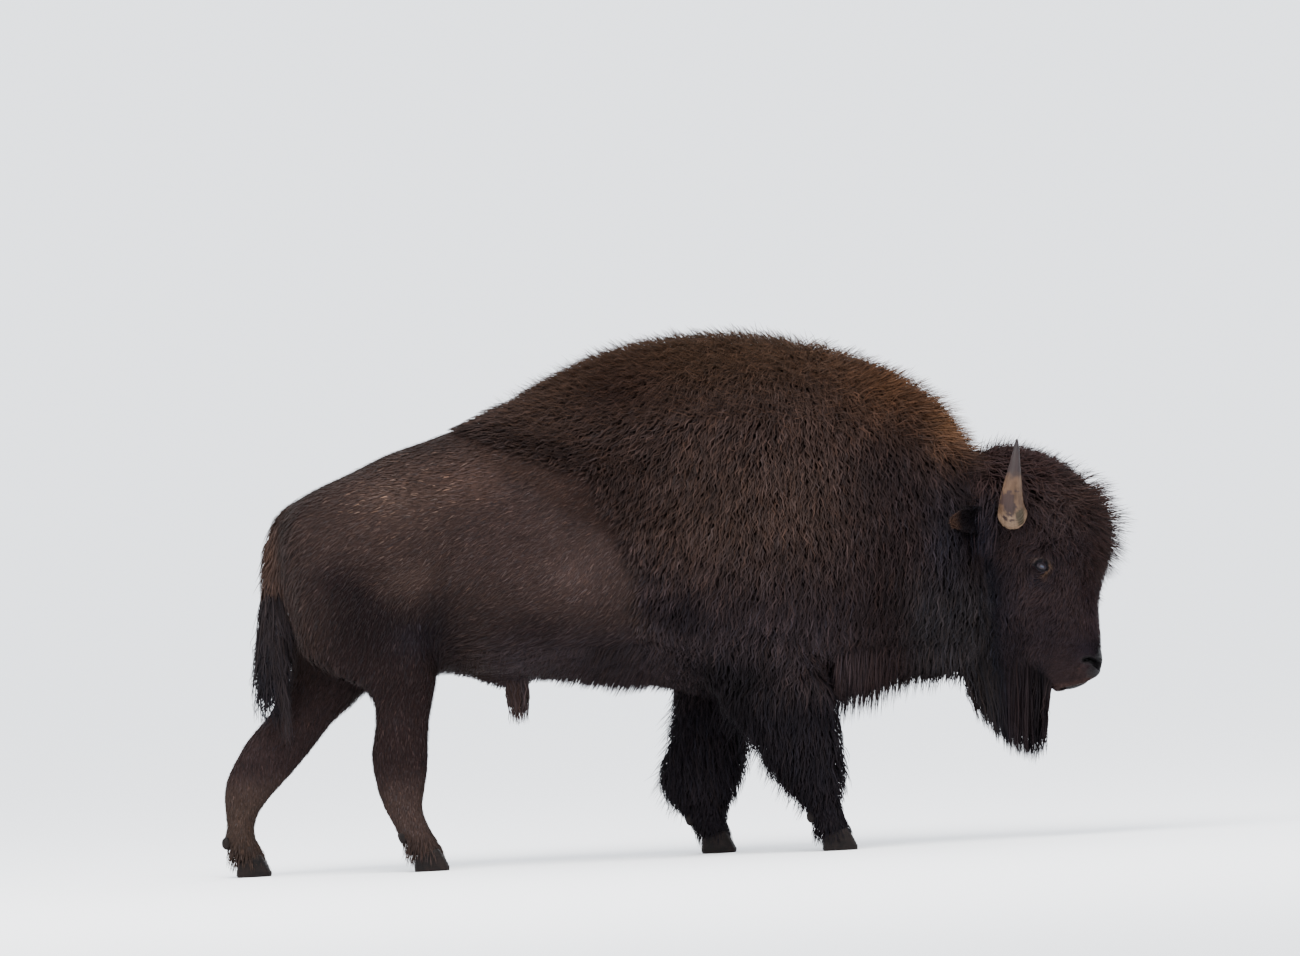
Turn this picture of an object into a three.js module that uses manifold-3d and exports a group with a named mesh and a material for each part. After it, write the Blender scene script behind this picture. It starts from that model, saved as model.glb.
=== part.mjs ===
// A young American bison bull in a walking stance, as a still, life-size model.
// Millimetres, +Z up, +X the way it faces, -Y its right side. The hooves stand on z = 0.
// The solids give the outline of the coat: long on hump, mane, beard and forelegs, short behind.
import * as THREE from "three";
import { mergeVertices } from "three/addons/utils/BufferGeometryUtils.js";
import Module from "manifold-3d";

const wasm = await Module();
wasm.setup();

// ---------------------------------------------------------------- driving dimensions
const GAP = 0.5; // clearance between two pieces that meet
const FAR = 3500; // beyond the animal from any point on it

const BODY_SIDES = 24; // corners of one ring, by part
const HEAD_SIDES = 20;
const LEG_SIDES = 14;
const FINE_SIDES = 10;

const EYE = { x: 2627, y: 139, z: 870, radius: 21 };
const LID_OPENING = { proud: 34, radius: 24 }; // a round dish in the hair before the eye

const CLAW = { length: 122, width: 47, wall: 36, cleft: 5 }; // wall is how far its front slopes back
const CORONET = { front: 74, heel: 46 }; // heights of the hoof's upper edge
const DEWCLAW = { x: 17, y: 13, z: 22, height: 112, apart: 25 };
const HIND_PARTING = 400; // height of the cut above the hock
const FORE_PARTING = 330; // height of the cut at the knee

// Where the body is parted: a point of each plane and the way the plane faces.
const HEAD_PARTING = { at: [2420, 0, 1200], facing: [0.998, 0, 0.06] };
const NECK_PARTING = { at: [2060, 0, 1100], facing: [0.97, 0, 0.24] };
const CAPE_PARTING = { at: [1290, 0, 900], facing: [0.93, 0, 0.36] };
const HAUNCH_PARTING = { at: [712, 0, 690], facing: [0.62, 0, 0.785] };
const FORELEG_PARTING = { height: 462, side: 50, facing: [-0.5, 0.87] }; // across y and z

// Rings of the trunk and neck stand across x. bottom and top are heights, wide is the half width,
// waist the height where it is widest, and upPower under 2 draws the upper half in to a ridge.
const TRUNK = [
  { x: 196, bottom: 930, top: 1090, waist: 1010, wide: 66, upPower: 2, downPower: 2 },
  { x: 215, bottom: 820, top: 1150, waist: 1000, wide: 124, upPower: 2, downPower: 2 },
  { x: 260, bottom: 720, top: 1212, waist: 1000, wide: 180, upPower: 2, downPower: 2.1 },
  { x: 340, bottom: 650, top: 1250, waist: 1005, wide: 226, upPower: 2.1, downPower: 2.2 },
  { x: 440, bottom: 620, top: 1290, waist: 1010, wide: 249, upPower: 2.2, downPower: 2.2 },
  { x: 560, bottom: 610, top: 1343, waist: 1000, wide: 260, upPower: 2.3, downPower: 2.2 },
  { x: 700, bottom: 622, top: 1384, waist: 960, wide: 272, upPower: 2.1, downPower: 2.2 },
  { x: 860, bottom: 606, top: 1446, waist: 920, wide: 292, upPower: 1.95, downPower: 2.2 },
  { x: 1040, bottom: 590, top: 1540, waist: 895, wide: 308, upPower: 1.8, downPower: 2.2 },
  { x: 1220, bottom: 578, top: 1624, waist: 885, wide: 318, upPower: 1.68, downPower: 2.15 },
  { x: 1400, bottom: 548, top: 1670, waist: 880, wide: 326, upPower: 1.6, downPower: 2.1 },
  { x: 1600, bottom: 505, top: 1684, waist: 875, wide: 330, upPower: 1.56, downPower: 2 },
  { x: 1780, bottom: 482, top: 1672, waist: 868, wide: 324, upPower: 1.56, downPower: 1.9 },
  { x: 1940, bottom: 476, top: 1637, waist: 860, wide: 306, upPower: 1.6, downPower: 1.85 },
  { x: 2080, bottom: 500, top: 1580, waist: 850, wide: 280, upPower: 1.66, downPower: 1.8 },
  { x: 2200, bottom: 528, top: 1518, waist: 850, wide: 256, upPower: 1.75, downPower: 1.8 },
  { x: 2290, bottom: 530, top: 1452, waist: 850, wide: 240, upPower: 1.8, downPower: 1.8 },
  { x: 2350, bottom: 530, top: 1398, waist: 840, wide: 224, upPower: 1.9, downPower: 1.8 },
  { x: 2400, bottom: 534, top: 1290, waist: 830, wide: 206, upPower: 2, downPower: 1.8 },
  { x: 2450, bottom: 560, top: 1150, waist: 810, wide: 166, upPower: 2, downPower: 1.8 },
];

// The sheath hangs under the belly in the middle plane and ends in a tuft.
const SHEATH = [
  { x: 700, bottom: 640, top: 740, waist: 680, wide: 26 },
  { x: 780, bottom: 604, top: 740, waist: 660, wide: 34 },
  { x: 860, bottom: 566, top: 720, waist: 640, wide: 38 },
  { x: 930, bottom: 548, top: 690, waist: 612, wide: 36 },
  { x: 975, bottom: 560, top: 660, waist: 605, wide: 24 },
];

// Rings of the head, legs, tail and hair tufts lie flat at heights z, from back to front in x.
// wide is the half width and side the distance of the ring's middle from the middle plane.
const HEAD = [
  { z: 1262, back: 2440, front: 2560, wide: 62 },
  { z: 1246, back: 2405, front: 2612, wide: 108 },
  { z: 1210, back: 2378, front: 2692, wide: 150 },
  { z: 1160, back: 2366, front: 2756, wide: 178 },
  { z: 1040, back: 2362, front: 2844, wide: 192 },
  { z: 980, back: 2364, front: 2862, wide: 182 },
  { z: 860, back: 2372, front: 2843, wide: 160 },
  { z: 800, back: 2382, front: 2818, wide: 153 },
  { z: 740, back: 2398, front: 2806, wide: 143 },
  { z: 630, back: 2448, front: 2811, wide: 114 },
  { z: 585, back: 2486, front: 2813, wide: 103 },
  { z: 545, back: 2540, front: 2810, wide: 97 },
  { z: 510, back: 2590, front: 2798, wide: 89 },
  { z: 482, back: 2618, front: 2768, wide: 74 },
  { z: 464, back: 2640, front: 2728, wide: 50 },
];

const HIND_RIGHT = [
  { z: 1060, back: 300, front: 620, side: 140, wide: 84 },
  { z: 980, back: 240, front: 672, side: 142, wide: 108 },
  { z: 790, back: 222, front: 720, side: 145, wide: 119 },
  { z: 710, back: 254, front: 714, side: 145, wide: 112 },
  { z: 650, back: 336, front: 702, side: 144, wide: 101 },
  { z: 600, back: 440, front: 688, side: 143, wide: 90 },
  { z: 550, back: 472, front: 676, side: 142, wide: 80 },
  { z: 490, back: 474, front: 661, side: 142, wide: 69 },
  { z: 430, back: 462, front: 654, side: 141, wide: 58 },
  { z: 375, back: 451, front: 652, side: 140, wide: 54 },
  { z: 320, back: 458, front: 645, side: 140, wide: 51 },
  { z: 265, back: 467, front: 634, side: 140, wide: 46 },
  { z: 210, back: 486, front: 620, side: 140, wide: 43 },
  { z: 165, back: 508, front: 628, side: 140, wide: 47 },
  { z: 125, back: 530, front: 646, side: 140, wide: 51 },
  { z: 84, back: 556, front: 668, side: 140, wide: 50 },
  { z: 30, back: 578, front: 690, side: 140, wide: 49 },
];

const HIND_LEFT = [
  { z: 1060, back: 290, front: 600, side: 140, wide: 84 },
  { z: 980, back: 226, front: 650, side: 142, wide: 108 },
  { z: 790, back: 198, front: 664, side: 145, wide: 119 },
  { z: 710, back: 200, front: 622, side: 145, wide: 112 },
  { z: 650, back: 198, front: 562, side: 144, wide: 101 },
  { z: 600, back: 184, front: 486, side: 143, wide: 90 },
  { z: 550, back: 152, front: 420, side: 142, wide: 80 },
  { z: 490, back: 94, front: 350, side: 142, wide: 69 },
  { z: 430, back: 38, front: 297, side: 141, wide: 60 },
  { z: 370, back: 2, front: 246, side: 140, wide: 55 },
  { z: 315, back: -26, front: 192, side: 140, wide: 52 },
  { z: 265, back: -36, front: 138, side: 140, wide: 48 },
  { z: 210, back: -32, front: 88, side: 140, wide: 44 },
  { z: 165, back: -28, front: 68, side: 140, wide: 46 },
  { z: 125, back: -28, front: 68, side: 140, wide: 50 },
  { z: 84, back: -22, front: 88, side: 140, wide: 49 },
  { z: 30, back: 0, front: 110, side: 140, wide: 49 },
];

const FORE_RIGHT = [
  { z: 840, back: 1440, front: 1780, side: 170, wide: 90 },
  { z: 740, back: 1450, front: 1850, side: 176, wide: 112 },
  { z: 660, back: 1476, front: 1900, side: 176, wide: 120 },
  { z: 590, back: 1510, front: 1934, side: 172, wide: 119 },
  { z: 520, back: 1552, front: 1962, side: 168, wide: 112 },
  { z: 450, back: 1604, front: 1976, side: 164, wide: 104 },
  { z: 385, back: 1658, front: 1977, side: 160, wide: 98 },
  { z: 325, back: 1704, front: 1973, side: 156, wide: 90 },
  { z: 275, back: 1736, front: 1966, side: 153, wide: 82 },
  { z: 230, back: 1770, front: 1960, side: 151, wide: 73 },
  { z: 190, back: 1808, front: 1954, side: 150, wide: 62 },
  { z: 150, back: 1834, front: 1953, side: 150, wide: 54 },
  { z: 84, back: 1860, front: 1974, side: 150, wide: 52 },
  { z: 30, back: 1882, front: 1996, side: 150, wide: 51 },
];

const FORE_LEFT = [
  { z: 840, back: 1400, front: 1720, side: 170, wide: 90 },
  { z: 740, back: 1396, front: 1734, side: 176, wide: 112 },
  { z: 660, back: 1400, front: 1736, side: 176, wide: 120 },
  { z: 590, back: 1408, front: 1730, side: 172, wide: 119 },
  { z: 520, back: 1412, front: 1718, side: 168, wide: 112 },
  { z: 450, back: 1410, front: 1704, side: 164, wide: 104 },
  { z: 385, back: 1400, front: 1684, side: 160, wide: 98 },
  { z: 325, back: 1382, front: 1662, side: 156, wide: 91 },
  { z: 275, back: 1368, front: 1642, side: 153, wide: 84 },
  { z: 230, back: 1374, front: 1624, side: 151, wide: 76 },
  { z: 190, back: 1398, front: 1606, side: 150, wide: 66 },
  { z: 150, back: 1428, front: 1588, side: 150, wide: 57 },
  { z: 84, back: 1468, front: 1582, side: 150, wide: 52 },
  { z: 30, back: 1490, front: 1604, side: 150, wide: 51 },
];

const TAIL = [
  { z: 1196, back: 214, front: 286, wide: 26 },
  { z: 1165, back: 182, front: 244, wide: 27 },
  { z: 1110, back: 156, front: 212, wide: 25 },
  { z: 1040, back: 143, front: 193, wide: 22 },
  { z: 960, back: 139, front: 184, wide: 20 },
  { z: 890, back: 132, front: 182, wide: 21 },
];

const TASSEL = [
  { z: 889, back: 132, front: 182, wide: 21 },
  { z: 850, back: 122, front: 188, wide: 29 },
  { z: 780, back: 110, front: 191, wide: 36 },
  { z: 690, back: 104, front: 191, wide: 38 },
  { z: 600, back: 92, front: 186, wide: 36 },
  { z: 530, back: 84, front: 178, wide: 30 },
  { z: 470, back: 82, front: 156, wide: 20 },
];

const BEARD = [
  { z: 610, back: 2452, front: 2640, wide: 62 },
  { z: 540, back: 2384, front: 2656, wide: 72 },
  { z: 470, back: 2374, front: 2642, wide: 69 },
  { z: 400, back: 2398, front: 2630, wide: 60 },
  { z: 330, back: 2442, front: 2620, wide: 47 },
  { z: 275, back: 2478, front: 2612, wide: 32 },
  { z: 245, back: 2515, front: 2600, wide: 18 },
];

const SHEATH_TUFT = [
  { z: 600, back: 884, front: 970, wide: 26 },
  { z: 545, back: 882, front: 982, wide: 30 },
  { z: 490, back: 896, front: 980, wide: 23 },
  { z: 436, back: 922, front: 966, wide: 10 },
];

// The horn leaves the side of the skull, turns up and tapers to a point that leans in a little.
const HORN = [
  { x: 2548, side: 120, z: 1046, radius: 44 },
  { x: 2546, side: 178, z: 1040, radius: 46 },
  { x: 2544, side: 226, z: 1044, radius: 45 },
  { x: 2543, side: 262, z: 1072, radius: 40 },
  { x: 2548, side: 280, z: 1118, radius: 33 },
  { x: 2556, side: 282, z: 1168, radius: 24 },
  { x: 2564, side: 274, z: 1220, radius: 15 },
  { x: 2571, side: 262, z: 1262, radius: 7 },
];

// The ear points out, back and level. tall is its half height and thick its half thickness.
const EAR = [
  { x: 2466, side: 150, z: 1040, tall: 22, thick: 15 },
  { x: 2440, side: 198, z: 1038, tall: 35, thick: 13 },
  { x: 2410, side: 232, z: 1034, tall: 41, thick: 9 },
  { x: 2378, side: 258, z: 1032, tall: 33, thick: 6 },
  { x: 2354, side: 274, z: 1032, tall: 16, thick: 4 },
];

// ---------------------------------------------------------------- curves and lofts
const V = (x, y, z) => new THREE.Vector3(x, y, z);

// The value of one key at a place along the stations, by a cubic through them all.
function valueAt(stations, along, key, i, place) {
  const last = stations.length - 1;
  const slopeAt = (k) => {
    const [before, after] = [stations[Math.max(k - 1, 0)], stations[Math.min(k + 1, last)]];
    return (after[key] - before[key]) / (after[along] - before[along]);
  };
  const [from, to] = [stations[i], stations[i + 1]];
  const step = to[along] - from[along];
  const t = (place - from[along]) / step;
  const fall = 2 * t ** 3 - 3 * t ** 2;
  return (
    (1 + fall) * from[key] -
    fall * to[key] +
    (t ** 3 - 2 * t ** 2 + t) * step * slopeAt(i) +
    (t ** 3 - t ** 2) * step * slopeAt(i + 1)
  );
}

// The stations with others set between them, so that none lie further apart than most.
function refine(stations, along, most) {
  const fine = [];
  for (let i = 0; i < stations.length - 1; i++) {
    const [from, to] = [stations[i][along], stations[i + 1][along]];
    const steps = Math.ceil(Math.abs(to - from) / most);
    for (let k = 0; k < steps; k++) {
      const place = from + ((to - from) * k) / steps;
      const keys = Object.keys(stations[i]);
      fine.push(
        Object.fromEntries(keys.map((key) => [key, valueAt(stations, along, key, i, place)])),
      );
    }
  }
  return [...fine, stations.at(-1)];
}

// One ring: power 2 makes an ellipse, more is squarer, less more pointed.
function ring(sides, power, place) {
  const soften = (v, p) => Math.sign(v) * Math.abs(v) ** (2 / p);
  return Array.from({ length: sides }, (_, k) => {
    const angle = (2 * Math.PI * k) / sides;
    const p = typeof power === "function" ? power(angle) : power;
    return place(soften(Math.cos(angle), p), soften(Math.sin(angle), p));
  });
}

function signedVolume(points, corners) {
  let sum = 0;
  for (let i = 0; i < corners.length; i += 3) {
    const [a, b, c] = [points[corners[i]], points[corners[i + 1]], points[corners[i + 2]]];
    sum += a.dot(b.clone().cross(c)) / 6;
  }
  return sum;
}

// A closed solid through rings of equally many corners, with a point at each end.
function loft(rings, startPoint, endPoint) {
  const sides = rings[0].length;
  const points = [startPoint, ...rings.flat(), endPoint];
  const at = (r, k) => 1 + r * sides + (k % sides);
  const corners = [];
  for (let k = 0; k < sides; k++) {
    corners.push(0, at(0, k + 1), at(0, k));
    for (let r = 0; r < rings.length - 1; r++) {
      corners.push(at(r, k), at(r, k + 1), at(r + 1, k + 1));
      corners.push(at(r, k), at(r + 1, k + 1), at(r + 1, k));
    }
    corners.push(points.length - 1, at(rings.length - 1, k), at(rings.length - 1, k + 1));
  }
  if (signedVolume(points, corners) < 0) corners.reverse();
  return solidOf(new THREE.BufferGeometry().setFromPoints(points).setIndex(corners));
}

// Any closed geometry as a solid, its shared corners merged.
function solidOf(geometry) {
  const bare = geometry.clone();
  bare.deleteAttribute("normal").deleteAttribute("uv");
  const merged = mergeVertices(bare, 1e-3);
  return new wasm.Manifold(
    new wasm.Mesh({
      numProp: 3,
      vertProperties: merged.attributes.position.array,
      triVerts: new Uint32Array(merged.index.array),
    }),
  );
}

// A loft through upright rings across x.
function uprightLoft(stations, sides, most) {
  const fine = refine(stations, "x", most);
  const rings = fine.map((s) => {
    const power = (angle) => (Math.sin(angle) > 0 ? s.upPower : s.downPower) ?? 2;
    return ring(sides, power, (y, z) =>
      V(s.x, y * s.wide, s.waist + z * (z > 0 ? s.top - s.waist : s.waist - s.bottom)),
    );
  });
  const end = (s, shift) => V(s.x + shift, 0, (s.top + s.bottom) / 2);
  return loft(rings, end(fine[0], -6), end(fine.at(-1), 6));
}

// A loft through flat rings. sign is -1 on the animal's right side, 1 on its left and 0 between.
function flatLoft(stations, sides, { sign = 0, power = 2.2, grow = 0, top = 6, end = 6 } = {}) {
  const middle = (s, rise) => V((s.back + s.front) / 2, sign * (s.side ?? 0), s.z + rise);
  const rings = stations.map((s) =>
    ring(sides, power, (x, y) =>
      middle(s, 0).add(V(x * ((s.front - s.back) / 2 + grow), y * (s.wide + grow), 0)),
    ),
  );
  return loft(rings, middle(stations[0], top + grow), middle(stations.at(-1), -end - grow));
}

// A tube along stations with x, side and z, round or with an upright oval section.
function tubeLoft(stations, sides, sign, grow, tip) {
  const middles = stations.map((s) => V(s.x, sign * s.side, s.z));
  const wayAt = (i) =>
    middles[Math.min(i + 1, middles.length - 1)].clone().sub(middles[Math.max(i - 1, 0)]).normalize();
  const rings = stations.map((s, i) => {
    const way = wayAt(i);
    const first = s.tall ? V(0, 0, 1).addScaledVector(way, -way.z) : V(1, 0, 0).cross(way);
    first.normalize();
    const second = way.clone().cross(first);
    const [long, short] = [(s.tall ?? s.radius) + grow, (s.thick ?? s.radius) + grow];
    return ring(sides, 2, (a, b) =>
      middles[i].clone().addScaledVector(first, a * long).addScaledVector(second, b * short),
    );
  });
  const last = middles.length - 1;
  const start = middles[0].clone().addScaledVector(wayAt(0), -grow);
  return loft(rings, start, middles[last].clone().addScaledVector(wayAt(last), tip + grow));
}

function ball(middle, x, y, z, across = 10, up = 8) {
  const geometry = new THREE.SphereGeometry(1, across, up);
  geometry.rotateX(Math.PI / 2);
  geometry.scale(x, y, z);
  geometry.translate(middle.x, middle.y, middle.z);
  return solidOf(geometry);
}

// Everything behind a plane, which may be moved along the way it faces.
function behind({ at, facing }, shift = 0) {
  const way = V(...facing).normalize();
  const box = new THREE.BoxGeometry(2 * FAR, 2 * FAR, FAR).translate(0, 0, -FAR / 2);
  box.applyQuaternion(new THREE.Quaternion().setFromUnitVectors(V(0, 0, 1), way));
  const point = V(...at).addScaledVector(way, shift);
  return solidOf(box.translate(point.x, point.y, point.z));
}

// The part of a solid behind a plane and the part before it, with a gap between them.
function split(solid, plane) {
  return [
    solid.intersect(behind(plane, -GAP / 2)),
    solid.subtract(behind(plane, GAP / 2)),
  ];
}

// ---------------------------------------------------------------- pieces and materials
function finish(colour, roughness) {
  return new THREE.MeshStandardMaterial({ color: colour, roughness, metalness: 0 });
}
const woolBrown = finish("#4a2f20", 0.95);
const shortBrown = finish("#4a3a2f", 0.85);
const darkHair = finish("#231a16", 0.9);
const hornGrey = finish("#5b5347", 0.45);
const hoofBlack = finish("#2b2622", 0.5);
const eyeDark = finish("#16110e", 0.08);

const pieces = [];
const add = (name, solid, material) => pieces.push({ name, solid, material });

const RIGHT = { word: "right", sign: -1, hind: HIND_RIGHT, fore: FORE_RIGHT };
const LEFT = { word: "left", sign: 1, hind: HIND_LEFT, fore: FORE_LEFT };

// ---- trunk, neck, head and legs are lofted whole and joined, then parted by planes
function joinedBody() {
  let body = uprightLoft(TRUNK, BODY_SIDES, 110)
    .add(uprightLoft(SHEATH, FINE_SIDES, 110))
    .add(flatLoft(HEAD, HEAD_SIDES, { power: 2.25 }));
  for (const { sign, hind, fore } of [RIGHT, LEFT])
    body = body
      .add(flatLoft(hind, LEG_SIDES, { sign }))
      .add(flatLoft(fore, LEG_SIDES, { sign }));
  return body;
}

const tail = (grow) => flatLoft(TAIL, FINE_SIDES, { power: 2, grow, end: 0 });
const tassel = (grow) => flatLoft(TASSEL, FINE_SIDES, { power: 2, grow, top: -GAP });
const beard = (grow) => flatLoft(BEARD, 10, { power: 2, grow, end: 12 });
const sheathTuft = (grow) => flatLoft(SHEATH_TUFT, FINE_SIDES, { power: 2, grow });
const horn = (sign, grow) => tubeLoft(HORN, 10, sign, grow, 13);
const ear = (sign, grow) => tubeLoft(EAR, 10, sign, grow, 12);
const eyeAt = (sign) => V(EYE.x, sign * EYE.y, EYE.z);
const eye = (sign, grow) => {
  const radius = EYE.radius + grow;
  return ball(eyeAt(sign), radius, radius, radius);
};
const lidOpening = (sign) => {
  const { proud, radius } = LID_OPENING;
  return ball(eyeAt(sign).add(V(0, sign * proud, 0)), radius, radius, radius, 8, 6);
};

// ---- hooves: two claws with a cleft between them, flat below, and two dewclaws behind
const coronet = (toe) => ({
  at: [toe - CLAW.wall, 0, CORONET.front],
  facing: [CORONET.heel - CORONET.front, 0, CLAW.length - CLAW.wall],
});

function claw(toe, middle, outward) {
  const half = CLAW.width / 2;
  const levels = [
    { z: 100, back: 12, front: 50 },
    { z: 40, back: 6, front: 18 },
    { z: 8, back: 1, front: 3 },
    { z: 0, back: 4, front: 6 },
  ];
  const rings = levels.map(({ z, back, front }) => {
    const reach = (CLAW.length - back - front) / 2;
    const x = toe - front - reach;
    return ring(10, 2.5, (a, b) =>
      V(x + a * reach, middle + outward * Math.max(b * half, 4 - half), z),
    );
  });
  const centre = (r, z) => V((r[0].x + r[5].x) / 2, middle, z);
  return loft(rings, centre(rings[0], 100), centre(rings.at(-1), 0));
}

// The feet of one leg: its claws and dewclaws, each with the room it takes out of the leg.
function foot(name, stations, sign) {
  const { back, front, side } = stations.find(({ z }) => z === 84);
  const toe = front + 30;
  for (const [which, outward] of [["inner", -sign], ["outer", sign]]) {
    const middle = sign * side + (outward * (CLAW.width + CLAW.cleft)) / 2;
    const whole = claw(toe, middle, outward);
    add(`hoof_${name}_${which}`, whole.intersect(behind(coronet(toe), -GAP / 2)), hoofBlack);
  }
  return (leg) => {
    let rest = leg.subtract(behind(coronet(toe), GAP / 2));
    for (const [which, outward] of [["inner", -sign], ["outer", sign]]) {
      const place = V(back - 6, sign * side + outward * DEWCLAW.apart, DEWCLAW.height);
      const dewclaw = (grow) =>
        ball(place, DEWCLAW.x + grow, DEWCLAW.y + grow, DEWCLAW.z + grow, 6, 5);
      add(`dewclaw_${name}_${which}`, dewclaw(0), hoofBlack);
      rest = rest.subtract(dewclaw(GAP));
    }
    return rest;
  };
}

// A leg parted level at a height, its foot fitted below.
function limb(solid, height, names, stations, sign, upperMaterial) {
  const [below, above] = split(solid, { at: [0, 0, height], facing: [0, 0, 1] });
  add(names.upper, above, upperMaterial);
  add(names.lower, foot(names.foot, stations, sign)(below), darkHair);
}

// ---------------------------------------------------------------- the animal
let body = joinedBody().subtract(tail(GAP)).subtract(tassel(GAP)).subtract(beard(GAP));
body = body.subtract(sheathTuft(GAP));
for (const { sign } of [RIGHT, LEFT])
  for (const room of [horn(sign, GAP), ear(sign, GAP), lidOpening(sign), eye(sign, GAP)])
    body = body.subtract(room);

const [behindHead, head] = split(body, HEAD_PARTING);
const [behindNeck, neck] = split(behindHead, NECK_PARTING);
const [haunches, withoutHaunches] = split(behindNeck, HAUNCH_PARTING);
const [haunchRight, haunchLeft] = split(haunches, { at: [0, 0, 0], facing: [0, 1, 0] });
let torso = withoutHaunches;
for (const side of [RIGHT, LEFT]) {
  const { height, side: across, facing } = FORELEG_PARTING;
  const slant = {
    at: [0, side.sign * across, height],
    facing: [0, side.sign * facing[0], facing[1]],
  };
  const ownSide = behind({ at: [0, 0, 0], facing: [0, -side.sign, 0] });
  side.foreleg = withoutHaunches.intersect(ownSide).intersect(behind(slant, -GAP / 2));
  torso = torso.subtract(behind(slant, GAP / 2).intersect(ownSide));
}
const [barrel, forequarters] = split(torso, CAPE_PARTING);
RIGHT.haunch = haunchRight;
LEFT.haunch = haunchLeft;

add("head", head, woolBrown);
add("neck", neck, woolBrown);
add("forequarters", forequarters, woolBrown);
add("barrel", barrel, shortBrown);
add("beard", beard(0), darkHair);
add("tail", tail(0), shortBrown);
add("tail_tassel", tassel(0), darkHair);
add("sheath_tuft", sheathTuft(0), darkHair);
for (const { word, sign, hind, fore, haunch, foreleg } of [RIGHT, LEFT]) {
  add(`horn_${word}`, horn(sign, 0), hornGrey);
  add(`ear_${word}`, ear(sign, 0), darkHair);
  add(`eye_${word}`, eye(sign, 0), eyeDark);
  const hindNames = { upper: `haunch_${word}`, lower: `hind_cannon_${word}`, foot: `hind_${word}` };
  limb(haunch, HIND_PARTING, hindNames, hind, sign, shortBrown);
  const foreNames = { upper: `forearm_${word}`, lower: `fore_cannon_${word}`, foot: `fore_${word}` };
  limb(foreleg, FORE_PARTING, foreNames, fore, sign, darkHair);
}

// ---- meshes, moved so that the origin lies under the middle of the whole
const meshes = pieces.map(({ name, solid, material }) => {
  const { vertProperties, numProp, triVerts } = solid.getMesh();
  const places = new Float32Array((vertProperties.length / numProp) * 3);
  for (let i = 0; i < places.length / 3; i++)
    places.set(vertProperties.subarray(i * numProp, i * numProp + 3), i * 3);
  const geometry = new THREE.BufferGeometry();
  geometry.setAttribute("position", new THREE.BufferAttribute(places, 3));
  geometry.setIndex(new THREE.BufferAttribute(new Uint32Array(triVerts), 1));
  const mesh = new THREE.Mesh(geometry, material);
  mesh.name = name;
  return mesh;
});

const whole = new THREE.Box3();
for (const { geometry } of meshes) {
  geometry.computeBoundingBox();
  whole.union(geometry.boundingBox);
}
const middle = whole.getCenter(V(0, 0, 0));

const group = new THREE.Group();
for (const mesh of meshes) {
  mesh.geometry.translate(-middle.x, -middle.y, -whole.min.z);
  mesh.geometry.computeVertexNormals();
  group.add(mesh);
}

export default group;
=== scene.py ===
"""A young American bison bull in mid-stride.

Skin, coat, eyes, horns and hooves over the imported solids. Lengths are metres. Places on the animal
are given in its own measure: x from the rear hoof's upright, y to its left, z up from the floor.
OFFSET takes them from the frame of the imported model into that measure.
"""

import math
import time

import bmesh
import bpy
import numpy as np
from mathutils import Matrix, Vector
from mathutils.bvhtree import BVHTree


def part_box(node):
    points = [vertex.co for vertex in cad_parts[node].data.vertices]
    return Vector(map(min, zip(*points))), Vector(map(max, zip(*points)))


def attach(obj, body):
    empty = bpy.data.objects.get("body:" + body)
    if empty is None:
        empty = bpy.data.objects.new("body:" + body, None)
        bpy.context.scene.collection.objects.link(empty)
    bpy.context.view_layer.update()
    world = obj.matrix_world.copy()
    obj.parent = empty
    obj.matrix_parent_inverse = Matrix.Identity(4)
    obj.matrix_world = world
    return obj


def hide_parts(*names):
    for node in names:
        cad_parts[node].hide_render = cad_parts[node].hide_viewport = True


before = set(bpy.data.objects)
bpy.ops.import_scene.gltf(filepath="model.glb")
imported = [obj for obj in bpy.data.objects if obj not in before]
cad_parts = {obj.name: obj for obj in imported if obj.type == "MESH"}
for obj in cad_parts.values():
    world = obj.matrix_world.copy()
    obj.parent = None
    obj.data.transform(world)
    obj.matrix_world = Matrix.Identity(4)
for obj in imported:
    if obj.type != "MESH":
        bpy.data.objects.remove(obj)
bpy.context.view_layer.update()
START = time.time()

EYE = np.array([2.627, 0.139, 0.870])
EYE_RADIUS = 0.021
_low, _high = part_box("eye_left")
SHIFT = EYE[0] - (_low[0] + _high[0]) / 2
OFFSET = np.array([SHIFT, 0, 0])
UP = np.array([0.0, 0.0, 1.0])

FLESH = [
    "head", "neck", "forequarters", "barrel", "tail",
    "haunch_left", "haunch_right", "forearm_left", "forearm_right",
    "hind_cannon_left", "hind_cannon_right", "fore_cannon_left", "fore_cannon_right",
]
# where each foot stands: x of the toe, y
FEET = {
    "hind_right": (0.698, -0.140),
    "hind_left": (0.118, 0.140),
    "fore_right": (2.004, -0.150),
    "fore_left": (1.612, 0.150),
}
SIDES = {"left": 1, "right": -1}

# voxels of the body before it is drawn in, of the skin and of the claws
BODY_VOXEL = 0.010
SKIN_VOXEL = 0.013
CLAW_VOXELS = {"hoof": 0.0042, "dewclaw": 0.0028}
# the claws are flat below SOLE, and the legs carry the coat's tufts above HAIR_LINE
SOLE = 0.0012
HAIR_LINE = 0.12
# where the coat of the head is deeper than this it is the bonnet, elsewhere the face's short hair
LONG_HAIR = 0.0235
ROOT_DEPTH = 0.004
WAVE_LENGTH = 0.036
TASSEL_LOCKS = 1300
EYE_ROUND = 72
EYE_RINGS = 41
PIECE_TRIANGLES = 195000
rng = np.random.default_rng(7)


def lap(text):
    """Says what is done, with the seconds that the script has run."""
    print("%5.1f s  %s" % (time.time() - START, text))


# ------------------------------------------------------------------ small tools
def smooth(t):
    t = np.clip(t, 0, 1)
    return t * t * (3 - 2 * t)


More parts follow.
